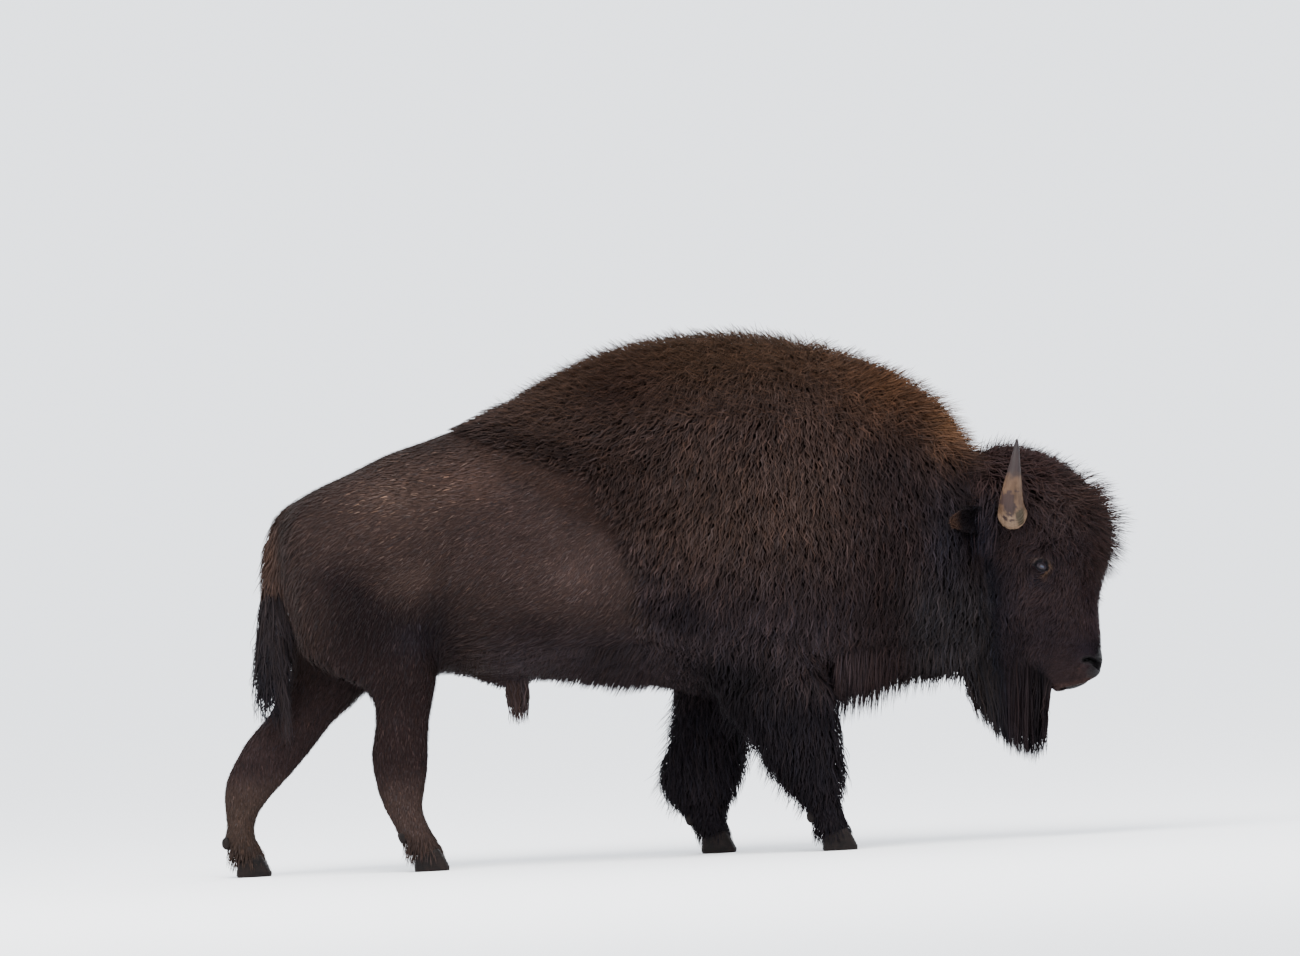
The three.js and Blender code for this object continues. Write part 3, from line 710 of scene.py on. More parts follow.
def marking(p):
    """Colour of the coat's middle at places p: the same for skin, short hair and locks."""
    x, z = p[:, 0], p[:, 2]

    def spot(x, z, wide, tall, much=1.0):
        return much * patch(p, x, z, wide, tall)

    thigh = np.interp(x, [0.1, 0.26, 0.36, 0.47, 0.54, 0.62, 0.80],
                      [1.00, 0.97, 1.00, 0.955, 0.89, 0.84, 0.79])
    rear = over(linear(53, 43, 39), [
        ((61, 49, 45), spot(0.95, 1.05, 0.25, 0.16)),
        ((63, 51, 46), spot(0.50, 1.08, 0.34, 0.13, 0.85)),
        # painted light: the thigh's lower, downward-facing side is painted paler, as if lit from
        # below
        ((74, 60, 53), spot(0.64, 0.94, 0.12, 0.07, 0.8)),
        ((40, 32, 31), spot(0.38, 0.95, 0.12, 0.07, 0.7)),
        ((76, 60, 53), spot(0.85, 1.24, 0.24, 0.09)),
        ((73, 59, 52), spot(0.59, 1.19, 0.20, 0.11)),
        ((50, 42, 40), spot(1.05, 1.24, 0.14, 0.08, 0.9)),
        ((70, 57, 52), spot(1.14, 0.94, 0.20, 0.16, 1.05)),
        ((60, 51, 51), ramp(z, 0.80, 0.66) * ramp(x, 0.8, 0.95)),
        ((30, 24, 24),
         0.9 * ramp(z - thigh, 0.05, -0.08) * ramp(x, 0.86, 0.70) * ramp(x, 0.24, 0.44)),
        ((37, 30, 30), spot(1.02, 0.76, 0.16, 0.07, 0.6)),
        # painted shade in the fold of the flank
        ((27, 22, 22), spot(0.71, 0.84, 0.08, 0.12, 0.6)),
        ((32, 27, 28), spot(1.26, 0.68, 0.17, 0.07, 0.6)),
        ((38, 35, 39), spot(0.63, 0.73, 0.10, 0.08, 0.7)),
        # painted light, partly the coat's own paler tone: the buttock's back edge beside the tail,
        # which lies in shade
        ((72, 59, 54), spot(0.21, 0.84, 0.08, 0.2, 0.8)),
        ((46, 36, 34), 0.7 * ramp(z, 0.80, 0.62) * ramp(x, 0.84, 0.74)),
        ((46, 36, 34), ramp(z, 0.66, 0.45)),
        # painted light: the upper part of the far hind leg, which lies in shade, is painted paler
        ((55, 44, 42), ramp(z, 0.66, 0.50) * ramp(x, 0.46, 0.36)),
        ((72, 59, 53), 0.8 * ramp(z, 0.36, 0.2)),
        # painted light: the lower part of the far hind leg, which lies in shade, is painted paler
        ((67, 55, 48), ramp(z, 0.36, 0.2) * ramp(x, 0.4, 0.3)),
        ((74, 58, 50), ramp(x, 0.215, 0.19) * ramp(z, 0.8, 0.88)),
    ])

    foreleg = on_foreleg(p)
    fringe, _ = to_line(p, [(0.80, 1.40), (1.00, 1.345), (1.20, 1.29)])
    wool = over(linear(59, 46, 40), [
        ((45, 34, 30), spot(1.30, 1.22, 0.24, 0.26)),
        ((47, 39, 40), ramp(z + 0.05 * value_noise(p, 6, 8), 1.12, 0.74)),
        ((57, 48, 48), ramp(z + 0.05 * value_noise(p, 8, 9), 0.86, 0.66)),
        ((20, 17, 19), spot(1.63, 0.64, 0.20, 0.11, 0.9)),
        ((24, 20, 22), spot(1.47, 0.81, 0.13, 0.07, 0.6)),
        ((39, 30, 29), ramp(x, 1.86, 2.16)),
        ((42, 38, 38), ramp(x, 2.12, 2.28) * ramp(z, 1.0, 0.8)),
        ((38, 36, 41), spot(2.33, 1.02, 0.08, 0.18, 0.8)),
        ((50, 38, 34), spot(1.75, 1.38, 0.35, 0.14, 0.6)),
        ((56, 42, 33), ramp(z, 1.42, 1.60)),
        ((44, 31, 26), spot(1.36, 1.50, 0.18, 0.10, 0.85)),
        ((71, 50, 36), spot(2.16, 1.48, 0.20, 0.15)),
        ((126, 92, 66), spot(2.36, 1.38, 0.11, 0.12)),
        ((38, 30, 28), 0.7 * bell(fringe, 0.045)),
        ((32, 28, 31), foreleg),
        ((15, 13, 15), spot(1.67, 0.57, 0.17, 0.09, 0.85)),
        ((22, 18, 20), spot(1.53, 0.81, 0.12, 0.08, 0.45)),
    ])

    head = over(linear(55, 44, 43), [
        ((62, 50, 46), ramp(x + 0.6 * (z - 0.95), 2.66, 2.82)),
        ((47, 39, 41), spot(2.74, 0.96, 0.08, 0.10, 0.6)),
        ((42, 35, 38), spot(2.63, 0.66, 0.10, 0.12, 0.7)),
        ((28, 25, 28), spot(2.55, 0.64, 0.05, 0.06, 0.5)),
        ((56, 42, 40), ramp(z, 1.08, 1.20)),
        ((88, 64, 48), spot(2.47, 1.275, 0.08, 0.035, 0.8)),
        ((43, 36, 38), ramp(x, 2.60, 2.52) * ramp(z, 0.95, 0.85)),
        ((28, 29, 35), ramp(x, 2.53, 2.45) * ramp(z, 1.15, 1.05)),
        ((60, 47, 49), spot(2.80, 0.72, 0.05, 0.12)),
        ((47, 39, 43), spot(2.76, 0.60, 0.06, 0.07)),
        ((27, 25, 28), ramp(z, 0.62, 0.52) * ramp(x, 2.66, 2.60)),
    ])
    for side in SIDES.values():
        facing, across, high, off_axis = eye_place(p, side)
        ahead = (facing > 0) * 1.0
        arch = bell(off_axis - 0.0280, 0.0065) * ramp(high, -0.003, 0.008)
        rim = ramp(lid_edge(across, high), 0.0068, 0.0046) * ramp(off_axis, 0.029, 0.0225)
        head = over(head, [
            ((40, 33, 35), 0.7 * ahead * ramp(off_axis, 0.075, 0.04)),
            ((47, 42, 46), ahead * spot(EYE[0] - 0.005, EYE[2] - 0.05, 0.045, 0.025, 0.8)),
            ((66, 50, 44), ahead * spot(EYE[0] + 0.018, EYE[2] - 0.034, 0.016, 0.012, 0.9)),
            ((82, 68, 60), ahead * arch),
            ((100, 78, 62), ahead * ramp(across, 0.014, 0.019) * ramp(off_axis, 0.034, 0.027)),
            ((27, 25, 28), ahead * rim),
        ])
    line, _ = to_line(p, MOUTH)
    lip = ramp(line, 0.026, 0.012) * ramp(x, 2.64, 2.68) * ramp(x, 2.79, 2.76)
    nostril = ramp(to_line(p, NOSTRIL)[0], 0.011, 0.006) * ramp(np.abs(p[:, 1]), 0.026, 0.034)
    ear = is_ear(p) * 1.0
    head = over(head, [
        ((84, 64, 56), 0.45 * lip),
        ((29, 24, 27), ramp(x, 2.745, 2.795) * ramp(z, 0.66, 0.59) * ramp(z, 0.495, 0.515)),
        ((62, 49, 46), spot(2.735, 0.53, 0.022, 0.028, 0.6)),
        # painted shade: the gap of the mouth and the hollows of the nostrils are painted near black
        ((12, 9, 9), ramp(line, 0.005, 0.002) * ramp(x, 2.66, 2.68)),
        ((7, 5, 5), nostril * ramp(x, 2.6, 2.65)),
        ((34, 29, 30), ear),
        ((74, 56, 46), ear * ramp(x, 2.392, 2.366)),
    ])

    colour = rear + (wool - rear) * np.maximum(cape(p), foreleg)[:, None]
    colour += (head - colour) * np.maximum(on_head(p), ear)[:, None]
    mottle = 1 + 0.10 * value_noise(p, 9, 3) + 0.08 * value_noise(p, 27, 4)
    return colour * mottle[:, None]


# ------------------------------------------------------------------ the lie of the coat
# side view: x, z, then the way the hair points
FLOW = np.array([
    (0.15, 1.15, -0.5, -0.85), (0.35, 1.22, -0.95, -0.4), (0.60, 1.24, -1, -0.25),
    (0.85, 1.26, -1, -0.2), (0.30, 0.98, -0.75, -0.65), (0.55, 1.02, -0.85, -0.5),
    (0.16, 0.85, -0.2, -1), (0.40, 0.80, -0.4, -0.9), (0.60, 0.72, -0.35, -0.95),
    (0.75, 0.95, -0.8, -0.6), (1.00, 1.05, -0.8, -0.6), (1.00, 0.80, -0.9, -0.5),
    (1.22, 0.95, -0.7, -0.75), (0.85, 0.66, -0.95, -0.3), (1.20, 0.66, -0.9, -0.4),
    (1.15, 1.15, -0.8, -0.5), (0.62, 0.40, -0.1, -1), (0.05, 0.40, -0.15, -1),
    (0.70, 0.15, -0.1, -1), (0.10, 0.15, -0.1, -1), (0.80, 1.38, -1, -0.2),
    (1.00, 1.44, -0.95, -0.3), (1.20, 1.54, -0.85, -0.5), (1.42, 1.60, -0.75, -0.65),
    (1.62, 1.62, -0.6, -0.8), (1.80, 1.64, -0.4, -0.9), (1.98, 1.60, -0.05, -1),
    (2.12, 1.54, 0.35, -0.95), (2.26, 1.46, 0.6, -0.8), (2.38, 1.36, 0.7, -0.7),
    (1.05, 1.30, -0.85, -0.5), (1.28, 1.42, -0.75, -0.65), (1.50, 1.45, -0.6, -0.8),
    (1.70, 1.42, -0.4, -0.9), (1.90, 1.40, -0.1, -1), (2.08, 1.36, 0.25, -1),
    (1.30, 1.22, -0.45, -0.9), (1.60, 1.32, -0.25, -0.95), (1.86, 1.30, -0.05, -1),
    (2.12, 1.30, 0.12, -1), (2.30, 1.25, 0.1, -1), (1.45, 1.00, -0.25, -1),
    (1.80, 1.00, -0.12, -1), (2.10, 1.00, -0.08, -1), (2.33, 1.00, -0.15, -1),
    (1.50, 0.70, -0.3, -0.95), (1.80, 0.65, -0.15, -1), (2.10, 0.70, -0.1, -1),
    (2.33, 0.75, -0.2, -1), (1.58, 0.35, -0.05, -1), (1.97, 0.35, -0.05, -1),
])
HEAD_FLOW = np.array([
    (2.44, 1.28, 0.5, 0.3), (2.50, 1.22, 0.85, 0.1), (2.62, 1.20, 0.95, -0.2),
    (2.74, 1.12, 0.85, -0.55), (2.82, 1.00, 0.5, -0.9), (2.84, 0.88, 0.2, -1),
    (2.81, 0.76, -0.1, -1), (2.80, 0.66, -0.2, -1), (2.62, 1.08, 0.45, -0.85),
    (2.72, 0.98, 0.1, -1), (2.62, 0.98, -0.35, -0.9), (2.74, 0.85, -0.35, -0.9),
    (2.68, 0.72, -0.5, -0.85), (2.60, 0.78, -0.6, -0.8), (2.56, 0.66, -0.45, -0.9),
    (2.74, 0.60, -0.7, -0.7), (2.70, 0.50, -0.9, -0.35), (2.46, 1.12, -0.4, -0.9),
    (2.42, 1.00, -0.15, -1), (2.46, 0.85, -0.2, -1), (2.48, 0.70, -0.2, -1),
    (2.52, 0.90, -0.5, -0.85), (2.55, 0.58, -0.1, -1), (2.38, 1.15, -0.1, -1),
])


def blend_flow(p, table):
    """The way that the table's nearest rows point."""
    total = np.zeros((len(p), 2))
    for x, z, dx, dz in table:
        near = 1 / ((p[:, 0] - x) ** 2 + (p[:, 2] - z) ** 2 + 0.0012) ** 2
        total += near[:, None] * np.array([dx, dz]) / math.hypot(dx, dz)
    return unit(total)


def lie(p, n):
    """The way the hair lies, along the skin."""
    head = on_head(p)[:, None]
    side = blend_flow(p, FLOW)
    side = side + (blend_flow(p, HEAD_FLOW) - side) * head
    # it parts in front of each eye and passes above and below it
    w = p[:, [0, 2]] - EYE[[0, 2]]
    r2 = np.maximum(np.sum(w * w, 1, keepdims=True), 0.026**2)
    part = 0.036**2 / r2
    mirrored = 2 * np.sum(side * w, 1, keepdims=True) / r2 * w - side
    beside = (np.abs(p[:, 1:2]) > 0.09) * head
    side = side - part * mirrored * beside
    d = np.stack([side[:, 0], np.zeros(len(p)), side[:, 1]], 1)
    # along the back it also lies over to each side
    d[:, 1] += np.clip(p[:, 1] / 0.05, -1, 1) * 0.25 * ramp(n[:, 2], 0.5, 0.9)
    return along_skin(d, n)


# ------------------------------------------------------------------ tufts
class Ground:
    """The skin as triangles to root hair in."""

    def __init__(self, obj):
        mesh = obj.data
        mesh.calc_loop_triangles()
        self.tri = read(mesh.loop_triangles, "vertices", 3, np.int32)
        self.co = local(coords(mesh))
        self.no = normals(mesh)
        a, b, c = (self.co[self.tri[:, k]] for k in range(3))
        self.centre = (a + b + c) / 3
        self.normal = unit(np.sum(self.no[self.tri], 1))
        self.area = np.linalg.norm(np.cross(b - a, c - a), axis=1) / 2
        self.tree = BVHTree.FromObject(obj, bpy.context.evaluated_depsgraph_get())


class Roots:
    """Where tufts start: m places p with the skin's normal n, the coat's depth and lie there."""

    def __init__(self, p, n):
        self.p, self.n, self.m = p, n, len(p)
        self.x, self.y, self.z = p.T
        self.nx, self.ny, self.nz = n.T
        self.deep = depth(p)
        self.way = lie(p, n)

    def vary(self, low, high):
        return rng.uniform(low, high, self.m)

    def turned(self, angle):
        return turned(self.way, self.n, angle)


def rooted(where, spacing):
    """Roots strewn over the skin's triangles, spacing apart where where is 1."""
    weight = ground.area * where / np.square(spacing)
    total = np.cumsum(weight)
    n = int(total[-1])
    pick = np.searchsorted(total, (np.arange(n) + rng.random(n)) * total[-1] / n)
    pick = np.minimum(pick, len(weight) - 1)
    u, v = rng.random(n), rng.random(n)
    flip = u + v > 1
    u[flip], v[flip] = 1 - u[flip], 1 - v[flip]
    w = np.stack([1 - u - v, u, v], 1)[:, :, None]
    t = ground.tri[pick]
    return Roots(np.sum(ground.co[t] * w, 1), unit(np.sum(ground.no[t] * w, 1)))


def unwrap(at, axis, middle):
    """Roots laid flat: round the axis, and along it."""
    if axis == "x":
        return np.arctan2(at.y, at.z - middle), at.x
    return np.arctan2(at.y, at.x - middle), at.z


def in_bake(value):
    """Values spread over one side of the bake."""
    return (value - value.min()) / max(np.ptp(value), 1e-6) * 0.99 + 0.002


def strip(rows, across):
    """Corners of a strip's faces and their count in each: rows of vertices, then its point."""
    faces = []
    for i in range(rows):
        for a in range(i * across, i * across + across - 1):
            last = i == rows - 1
            faces.append([a, a + 1] + ([rows * across] if last else [a + 1 + across, a + across]))
    return np.concatenate(faces), np.array([len(face) for face in faces])


def strips_mesh(name, co, corners, counts):
    """The same strip over each row of places."""
    m, per = co.shape[:2]
    mesh = bpy.data.meshes.new(name)
    mesh.vertices.add(m * per)
    mesh.vertices.foreach_set("co", (co - OFFSET).astype(np.float32).ravel())
    index = (corners[None] + (np.arange(m) * per)[:, None]).ravel()
    count = np.tile(counts, m)
    start = np.concatenate([[0], np.cumsum(count)[:-1]])
    mesh.loops.add(len(index))
    mesh.loops.foreach_set("vertex_index", index.astype(np.int32))
    mesh.polygons.add(len(count))
    mesh.polygons.foreach_set("loop_start", start.astype(np.int32))
    mesh.polygons.foreach_set("loop_total", count.astype(np.int32))
    shade_smooth(mesh)
    mesh.update(calc_edges=True)
    return mesh


def tufts(name, at, way, length, width, height, rows, roof=True, wave=0.0, free=1.0, goal=None,
          shade=(0.35, 0.9, 1.35), wildness=0.12, axis=("x", 1.0), tone=1.0, vary=0.16,
          contrast=1.0):
    """One mesh of tufts, or several where there are too many for one.

    Each tuft starts in the skin at its root, rises to its height and lies along the skin, or
    hangs to its goal where free is 1. It is a strip that tapers to a point, with a raised middle
    under a roof, or flat. Shade is its light at root, middle and tip.
    """
    root, normal, n = at.p, at.n, at.m
    one = np.ones(n)
    length, width, height = length * one, width * one, height * one
    way = turned(way, normal, rng.normal(0, 1, n) * wildness)
    aim = root + way * length[:, None]
    place, up, _ = nearest(ground.tree, aim - OFFSET)
    # a steep turn of the skin between root and tip keeps the root's own upright
    same = ramp(np.sum(up * normal, 1), 0.2, 0.6)[:, None]
    up = unit(up * same + normal * (1 - same))
    place = aim + (place + OFFSET - aim) * same
    tip = place + up * height[:, None]
    rise = root + normal * (height * 1.05)[:, None] + way * (length * 0.38)[:, None]
    if goal is not None:
        free = (free * one)[:, None]
        tip = tip + (goal - tip) * free
        drop = root + normal * (height * 0.7)[:, None] + (goal - root) * 0.42
        rise = rise + (drop - rise) * free
    base = root - normal * ROOT_DEPTH

    t = np.append(np.arange(rows) / rows, 1.0)
    profile = (1 - t) ** 0.65 * (0.72 + 0.9 * t * (1.3 - t))
    centre = np.stack([base * (1 - k) ** 2 + rise * (2 * k * (1 - k)) + tip * k * k for k in t], 1)
    along = unit(np.gradient(centre, axis=1))
    upright = unit(normal[:, None] * (1 - t)[None, :, None] + up[:, None] * t[None, :, None])
    across = unit(np.cross(upright, along))
    upright = unit(np.cross(along, across))
    if wave:
        # neighbours wave together
        phase = 7.0 * value_noise(root, 14, 8) + rng.normal(0, 0.4, n)
        beat = np.sin(phase[:, None] + 2 * math.pi * (length[:, None] / WAVE_LENGTH) * t[None])
        swing = beat * np.minimum(t * 3, 1)[None] * (wave * np.minimum(length / 0.05, 1.6))[:, None]
        centre = centre + across * swing[:, :, None]
    half = (width[:, None] * profile[None] / 2)[:, :, None]
    columns = [centre - across * half, centre + across * half]
    if roof:
        columns.insert(1, centre + upright * half * 0.75)
    wide = len(columns)
    sides = np.stack([column[:, :rows] for column in columns], 2).reshape(n, -1, 3)
    verts = np.concatenate([sides, centre[:, rows:]], 1)
    corners, counts = strip(rows, wide)
    triangles = int(np.sum(counts - 2))

    # colour: painted shade in the depth of the coat, lighter to the tips, partly the hair's own
    # paler tips and partly painted light
    level = np.append(np.repeat(t[:-1], wide), 1.0)
    light = np.interp(level, [0, 0.5, 1], shade)
    spread = np.exp(rng.normal(0, vary, n))[:, None]
    spread = spread * (1 + np.array([0.05, 0, -0.05]) * rng.normal(0, 1, n)[:, None])
    light = 1 + (light[None] - 1) * (contrast * one)[:, None]
    colour = marking(root) * ALBEDO * tone
    tint = colour[:, None] * light[:, :, None] * spread[:, None]

    # places in the bake: a small patch at the root's place on the skin laid flat
    turn, far = unwrap(at, *axis)
    pieces = max(1, math.ceil(n * triangles / PIECE_TRIANGLES))
    across_of = np.append(np.tile(np.linspace(0, 1, wide), rows), 0.5)
    made = []
    for k, chosen in enumerate(np.array_split(np.argsort(turn, kind="stable"), pieces)):
        m = len(chosen)
        mesh = strips_mesh(name, verts[chosen], corners, counts)
        where = np.tile(corners, m)
        owner = np.repeat(np.arange(m), len(corners))
        u, v = in_bake(turn[chosen])[owner], in_bake(far[chosen])[owner]
        add_uv(mesh, "OFBake", u + 0.003 * across_of[where], v + 0.003 * level[where])
        shift = rng.random(m) * 90
        add_uv(mesh, "Strand", across_of[where] + shift[owner], level[where])
        paint(mesh, "tint", tint[chosen].reshape(-1, 3))
        obj = link_object(name if pieces == 1 else "%s_%d" % (name, k + 1), mesh)
        obj.data.materials.append(COAT)
        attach(obj, "root")
        made.append(obj)
    lap("%s: %d tufts, %d triangles in %d" % (name, n, n * triangles, pieces))
    return made


# ------------------------------------------------------------------ materials
class Material:
    """A Principled material. Most methods add a node and give the socket that it ends in."""

    def __init__(self, name):
        self.mat = bpy.data.materials.new(name)
        self.mat.use_nodes = True
        self.tree = self.mat.node_tree
        self.bsdf = self.tree.nodes["Principled BSDF"]

    def feed(self, node, values):
        """Sets a node's inputs, or links them where the value is a socket."""
        for key, value in values.items():
            if isinstance(value, bpy.types.NodeSocket):
                self.tree.links.new(value, node.inputs[key])
            else:
                node.inputs[key].default_value = value

    def shade(self, values):
        self.feed(self.bsdf, values)

    def add(self, kind, values, output, **settings):
        node = self.tree.nodes.new(kind)
        for key, value in settings.items():
            setattr(node, key, value)
        self.feed(node, values)
        return node.outputs[output]

    def tint(self):
        return self.add("ShaderNodeAttribute", {}, "Color", attribute_name="tint")

    def measure(self, name):
        return self.add("ShaderNodeAttribute", {}, "Fac", attribute_name=name)

    def uv(self, name):
        return self.add("ShaderNodeUVMap", {}, "UV", uv_map=name)

    def place(self):
        return self.add("ShaderNodeTexCoord", {}, "Object")

    def noise(self, vector, scale, detail, rough=0.6, distortion=0.0):
        values = {"Vector": vector, "Scale": scale, "Detail": detail, "Roughness": rough}
        return self.add("ShaderNodeTexNoise", {**values, "Distortion": distortion}, "Fac")

    def streaks(self, vector, scale, detail, rough=0.6, distortion=0.0, slant=0.0):
        """Noise stretched by the scale in x, y and z, after a slant about y."""
        values = {"Vector": vector, "Scale": scale, "Rotation": (0, math.radians(slant), 0)}
        vector = self.add("ShaderNodeMapping", values, "Vector")
        return self.noise(vector, 1.0, detail, rough, distortion)

    def rescale(self, value, to_low, to_high, low=0.3, high=0.7):
        values = {"From Min": low, "From Max": high, "To Min": to_low, "To Max": to_high}
        return self.add("ShaderNodeMapRange", {**values, "Value": value}, "Result")

    def times(self, colour, factor):
        values = {0: colour, "Scale": factor}
        return self.add("ShaderNodeVectorMath", values, "Vector", operation="SCALE")

    def blend(self, factor, a, b):
        values = {"Factor": factor, "A": a, "B": b}
        return self.add("ShaderNodeMix", values, "Result", data_type="FLOAT")

    def bump(self, height, strength, distance):
        values = {"Height": height, "Strength": strength, "Distance": distance}
        self.shade({"Normal": self.add("ShaderNodeBump", values, "Normal")})


def coat_material():
    """Fine hairs along each tuft."""
    m = Material("coat_hair")
    hairs = m.streaks(m.uv("Strand"), (5.0, 0.9, 1.0), detail=2.0)
    m.shade({
        "Base Color": m.times(m.tint(), m.rescale(hairs, 0.50, 1.50, low=0.25, high=0.75)),
        "Roughness": m.rescale(hairs, 0.68, 0.5),
        "Specular IOR Level": 0.03,
    })
    m.bump(hairs, strength=0.35, distance=0.002)
    return m.mat


def skin_material(name, shine):
    """Short hair along the lie of the coat; bare pebbled skin on nose, lips and lids."""
    m = Material(name)
    place, bare_part = m.place(), m.measure("bare")
    slanting = m.streaks(place, (45, 330, 330), detail=3.0, slant=25)
    falling = m.streaks(place, (330, 330, 45), detail=3.0, slant=8)
    hair = m.blend(m.measure("upright"), slanting, falling)
    pebbles = m.add("ShaderNodeTexVoronoi", {"Vector": place, "Scale": 330}, "Distance",
                    feature="SMOOTH_F1")
    surface = m.blend(bare_part, hair, m.rescale(pebbles, 1.0, 0.0, low=0.0, high=0.8))
    m.shade({
        "Base Color": m.times(m.tint(), m.rescale(surface, 0.62, 1.3)),
        "Roughness": m.rescale(bare_part, 0.75, 0.55, low=0, high=1),
        "Specular IOR Level": shine,
    })
    m.bump(surface, strength=0.55, distance=0.004)
    return m.mat


def horn_material():
    m = Material("horn_keratin")
    fibre = m.streaks(m.uv("Around"), (34, 3, 1), detail=4.0, distortion=0.3)
    scuff = m.streaks(m.uv("Around"), (8, 8, 1), detail=5.0, rough=0.7, distortion=0.6)
    m.shade({
        "Base Color": m.times(m.tint(), m.rescale(fibre, 0.72, 1.25)),
        "Roughness": m.rescale(scuff, 0.36, 0.62),
        "Specular IOR Level": 0.10,
    })
    m.bump(fibre, strength=0.5, distance=0.002)
    return m.mat


def hoof_material():
    m = Material("hoof_keratin")
    rings = m.streaks(m.place(), (18, 18, 210), detail=3.0)
    fibre = m.streaks(m.place(), (420, 420, 40), detail=3.0)
    dirt = m.noise(m.place(), 26, 4.0, rough=0.65)
    colours = m.add("ShaderNodeValToRGB", {"Fac": dirt}, "Color")
    for stop, position, srgb in zip(colours.node.color_ramp.elements, (0.32, 0.74),
                                    ((10, 8, 8), (30, 23, 21))):
        stop.position, stop.color = position, (*linear(*srgb), 1)
    m.shade({
        "Base Color": m.times(colours, m.rescale(fibre, 0.75, 1.2)),
        "Roughness": m.rescale(dirt, 0.45, 0.7),
        "Specular IOR Level": 0.08,
    })
    m.bump(rings, strength=0.5, distance=0.003)
    return m.mat


def eye_material():
    m = Material("eye_wet")
    rays = m.streaks(m.uv("Around"), (60, 2, 1), detail=3.0)
    m.shade({
        "Base Color": m.times(m.tint(), m.rescale(rays, 0.7, 1.3)),
        "Roughness": 0.20,
        "IOR": 1.36,
        "Specular IOR Level": 0.20,
        "Coat Weight": 0.08,
        "Coat Roughness": 0.03,
    })
    return m.mat


# ------------------------------------------------------------------ make the skin
COAT = coat_material()
skin = build_skin()
ground = Ground(skin)
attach(skin, "root")
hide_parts(*FLESH, "ear_left", "ear_right")


def finish_skin():
    """Colours the skin and splits it into hairy and bare faces."""
    mesh = skin.data
    p = local(coords(mesh))
    naked = bare(p)
    # painted shade: the skin is darkened where the coat lies deep over it
    coat_shade = ramp(depth(p), 0.012, 0.034) * (1 - naked)
    # the bare nose has no hair to shade it
    pad = naked * ramp(p[:, 0], 2.66, 2.72)
    paint(mesh, "tint", marking(p) * ALBEDO * (1 - 0.50 * coat_shade - 0.35 * pad)[:, None])
    upright = ramp(np.abs(lie(p, normals(mesh))[:, 2]), 0.55, 0.8)
    for name, value in (("bare", naked), ("upright", upright)):
        layer = mesh.attributes.new(name, "FLOAT", "POINT")
        layer.data.foreach_set("value", value.astype(np.float32))
    mesh.materials.append(skin_material("coat_skin", 0.0))
    mesh.materials.append(skin_material("bare_skin", 0.06))
    # each face takes the first of its corners
    corner = read(mesh.loops, "vertex_index", 1, np.int32)
    first = corner[read(mesh.polygons, "loop_start", 1, np.int32)]
    mesh.polygons.foreach_set("material_index", (naked[first] > 0.5).astype(np.int32))


finish_skin()
lap("skin painted")


# ------------------------------------------------------------------ grow the coat
# middle and normal of each triangle of the skin
CX, CY, CZ = ground.centre.T
CQ = np.abs(CY)
NX, _, NZ = ground.normal.T


def zones(p):
    """The triangles that carry hair, and those of each kind of it."""
    hairy = (bare(p) <= 0.5) & (CZ > 0.06)
    ear = is_ear(p)
    head = (on_head(p) > 0.5) & ~ear
    dock = (CX < 0.205) & (CQ < 0.05) & between(CZ, 0.55, 0.93)
    leg = (on_foreleg(p) > 0.5) & ~head
    wool = (woolly(p) > 0.10) & ~head & ~ear & ~leg
    rear = ~(head | ear | dock | leg | wool)
    return [hairy] + [hairy & part for part in (ear, head, leg, wool, rear)]


HAIRY, EARS, HEAD, FORELEGS, WOOL, REAR = zones(ground.centre)


def hang(at, length, out=0.2):
    """Where a free lock's tip hangs."""
    drift = at.n * out + rng.normal(0, 0.12, (at.m, 3))
    drift[:, 2] = 0
    return at.p + (drift - UP) * length[:, None]


def crest_way(at):
    """How hair stands on top of the back: it leans back behind the hump, forward before it."""
    ahead = ramp(at.x, 2.15, 2.32)
    forward = rng.random(at.m) < ramp(at.x, 1.80, 2.20)
    lean = np.stack([np.where(forward, 0.9, -0.8), 0.4 * at.ny, -0.35 * ahead], 1)
    return unit((0.80 - 0.20 * ahead)[:, None] * at.n + lean + rng.normal(0, 0.18, (at.m, 3)))


def strands(p, amount):
    """Lighter and darker strands, two or three tufts wide."""
    q = p * (1, 1, 0.45)
    return np.exp(amount * (value_noise(q, 75, 2) + 0.5 * value_noise(q, 150, 3)))[:, None]


def sunlit(p):
    """Paler tips where the hump's hair stands upright, which its own depth would darken."""
    return (1 + 0.30 * patch(p, 1.90, 1.62, 0.26, 0.09))[:, None]


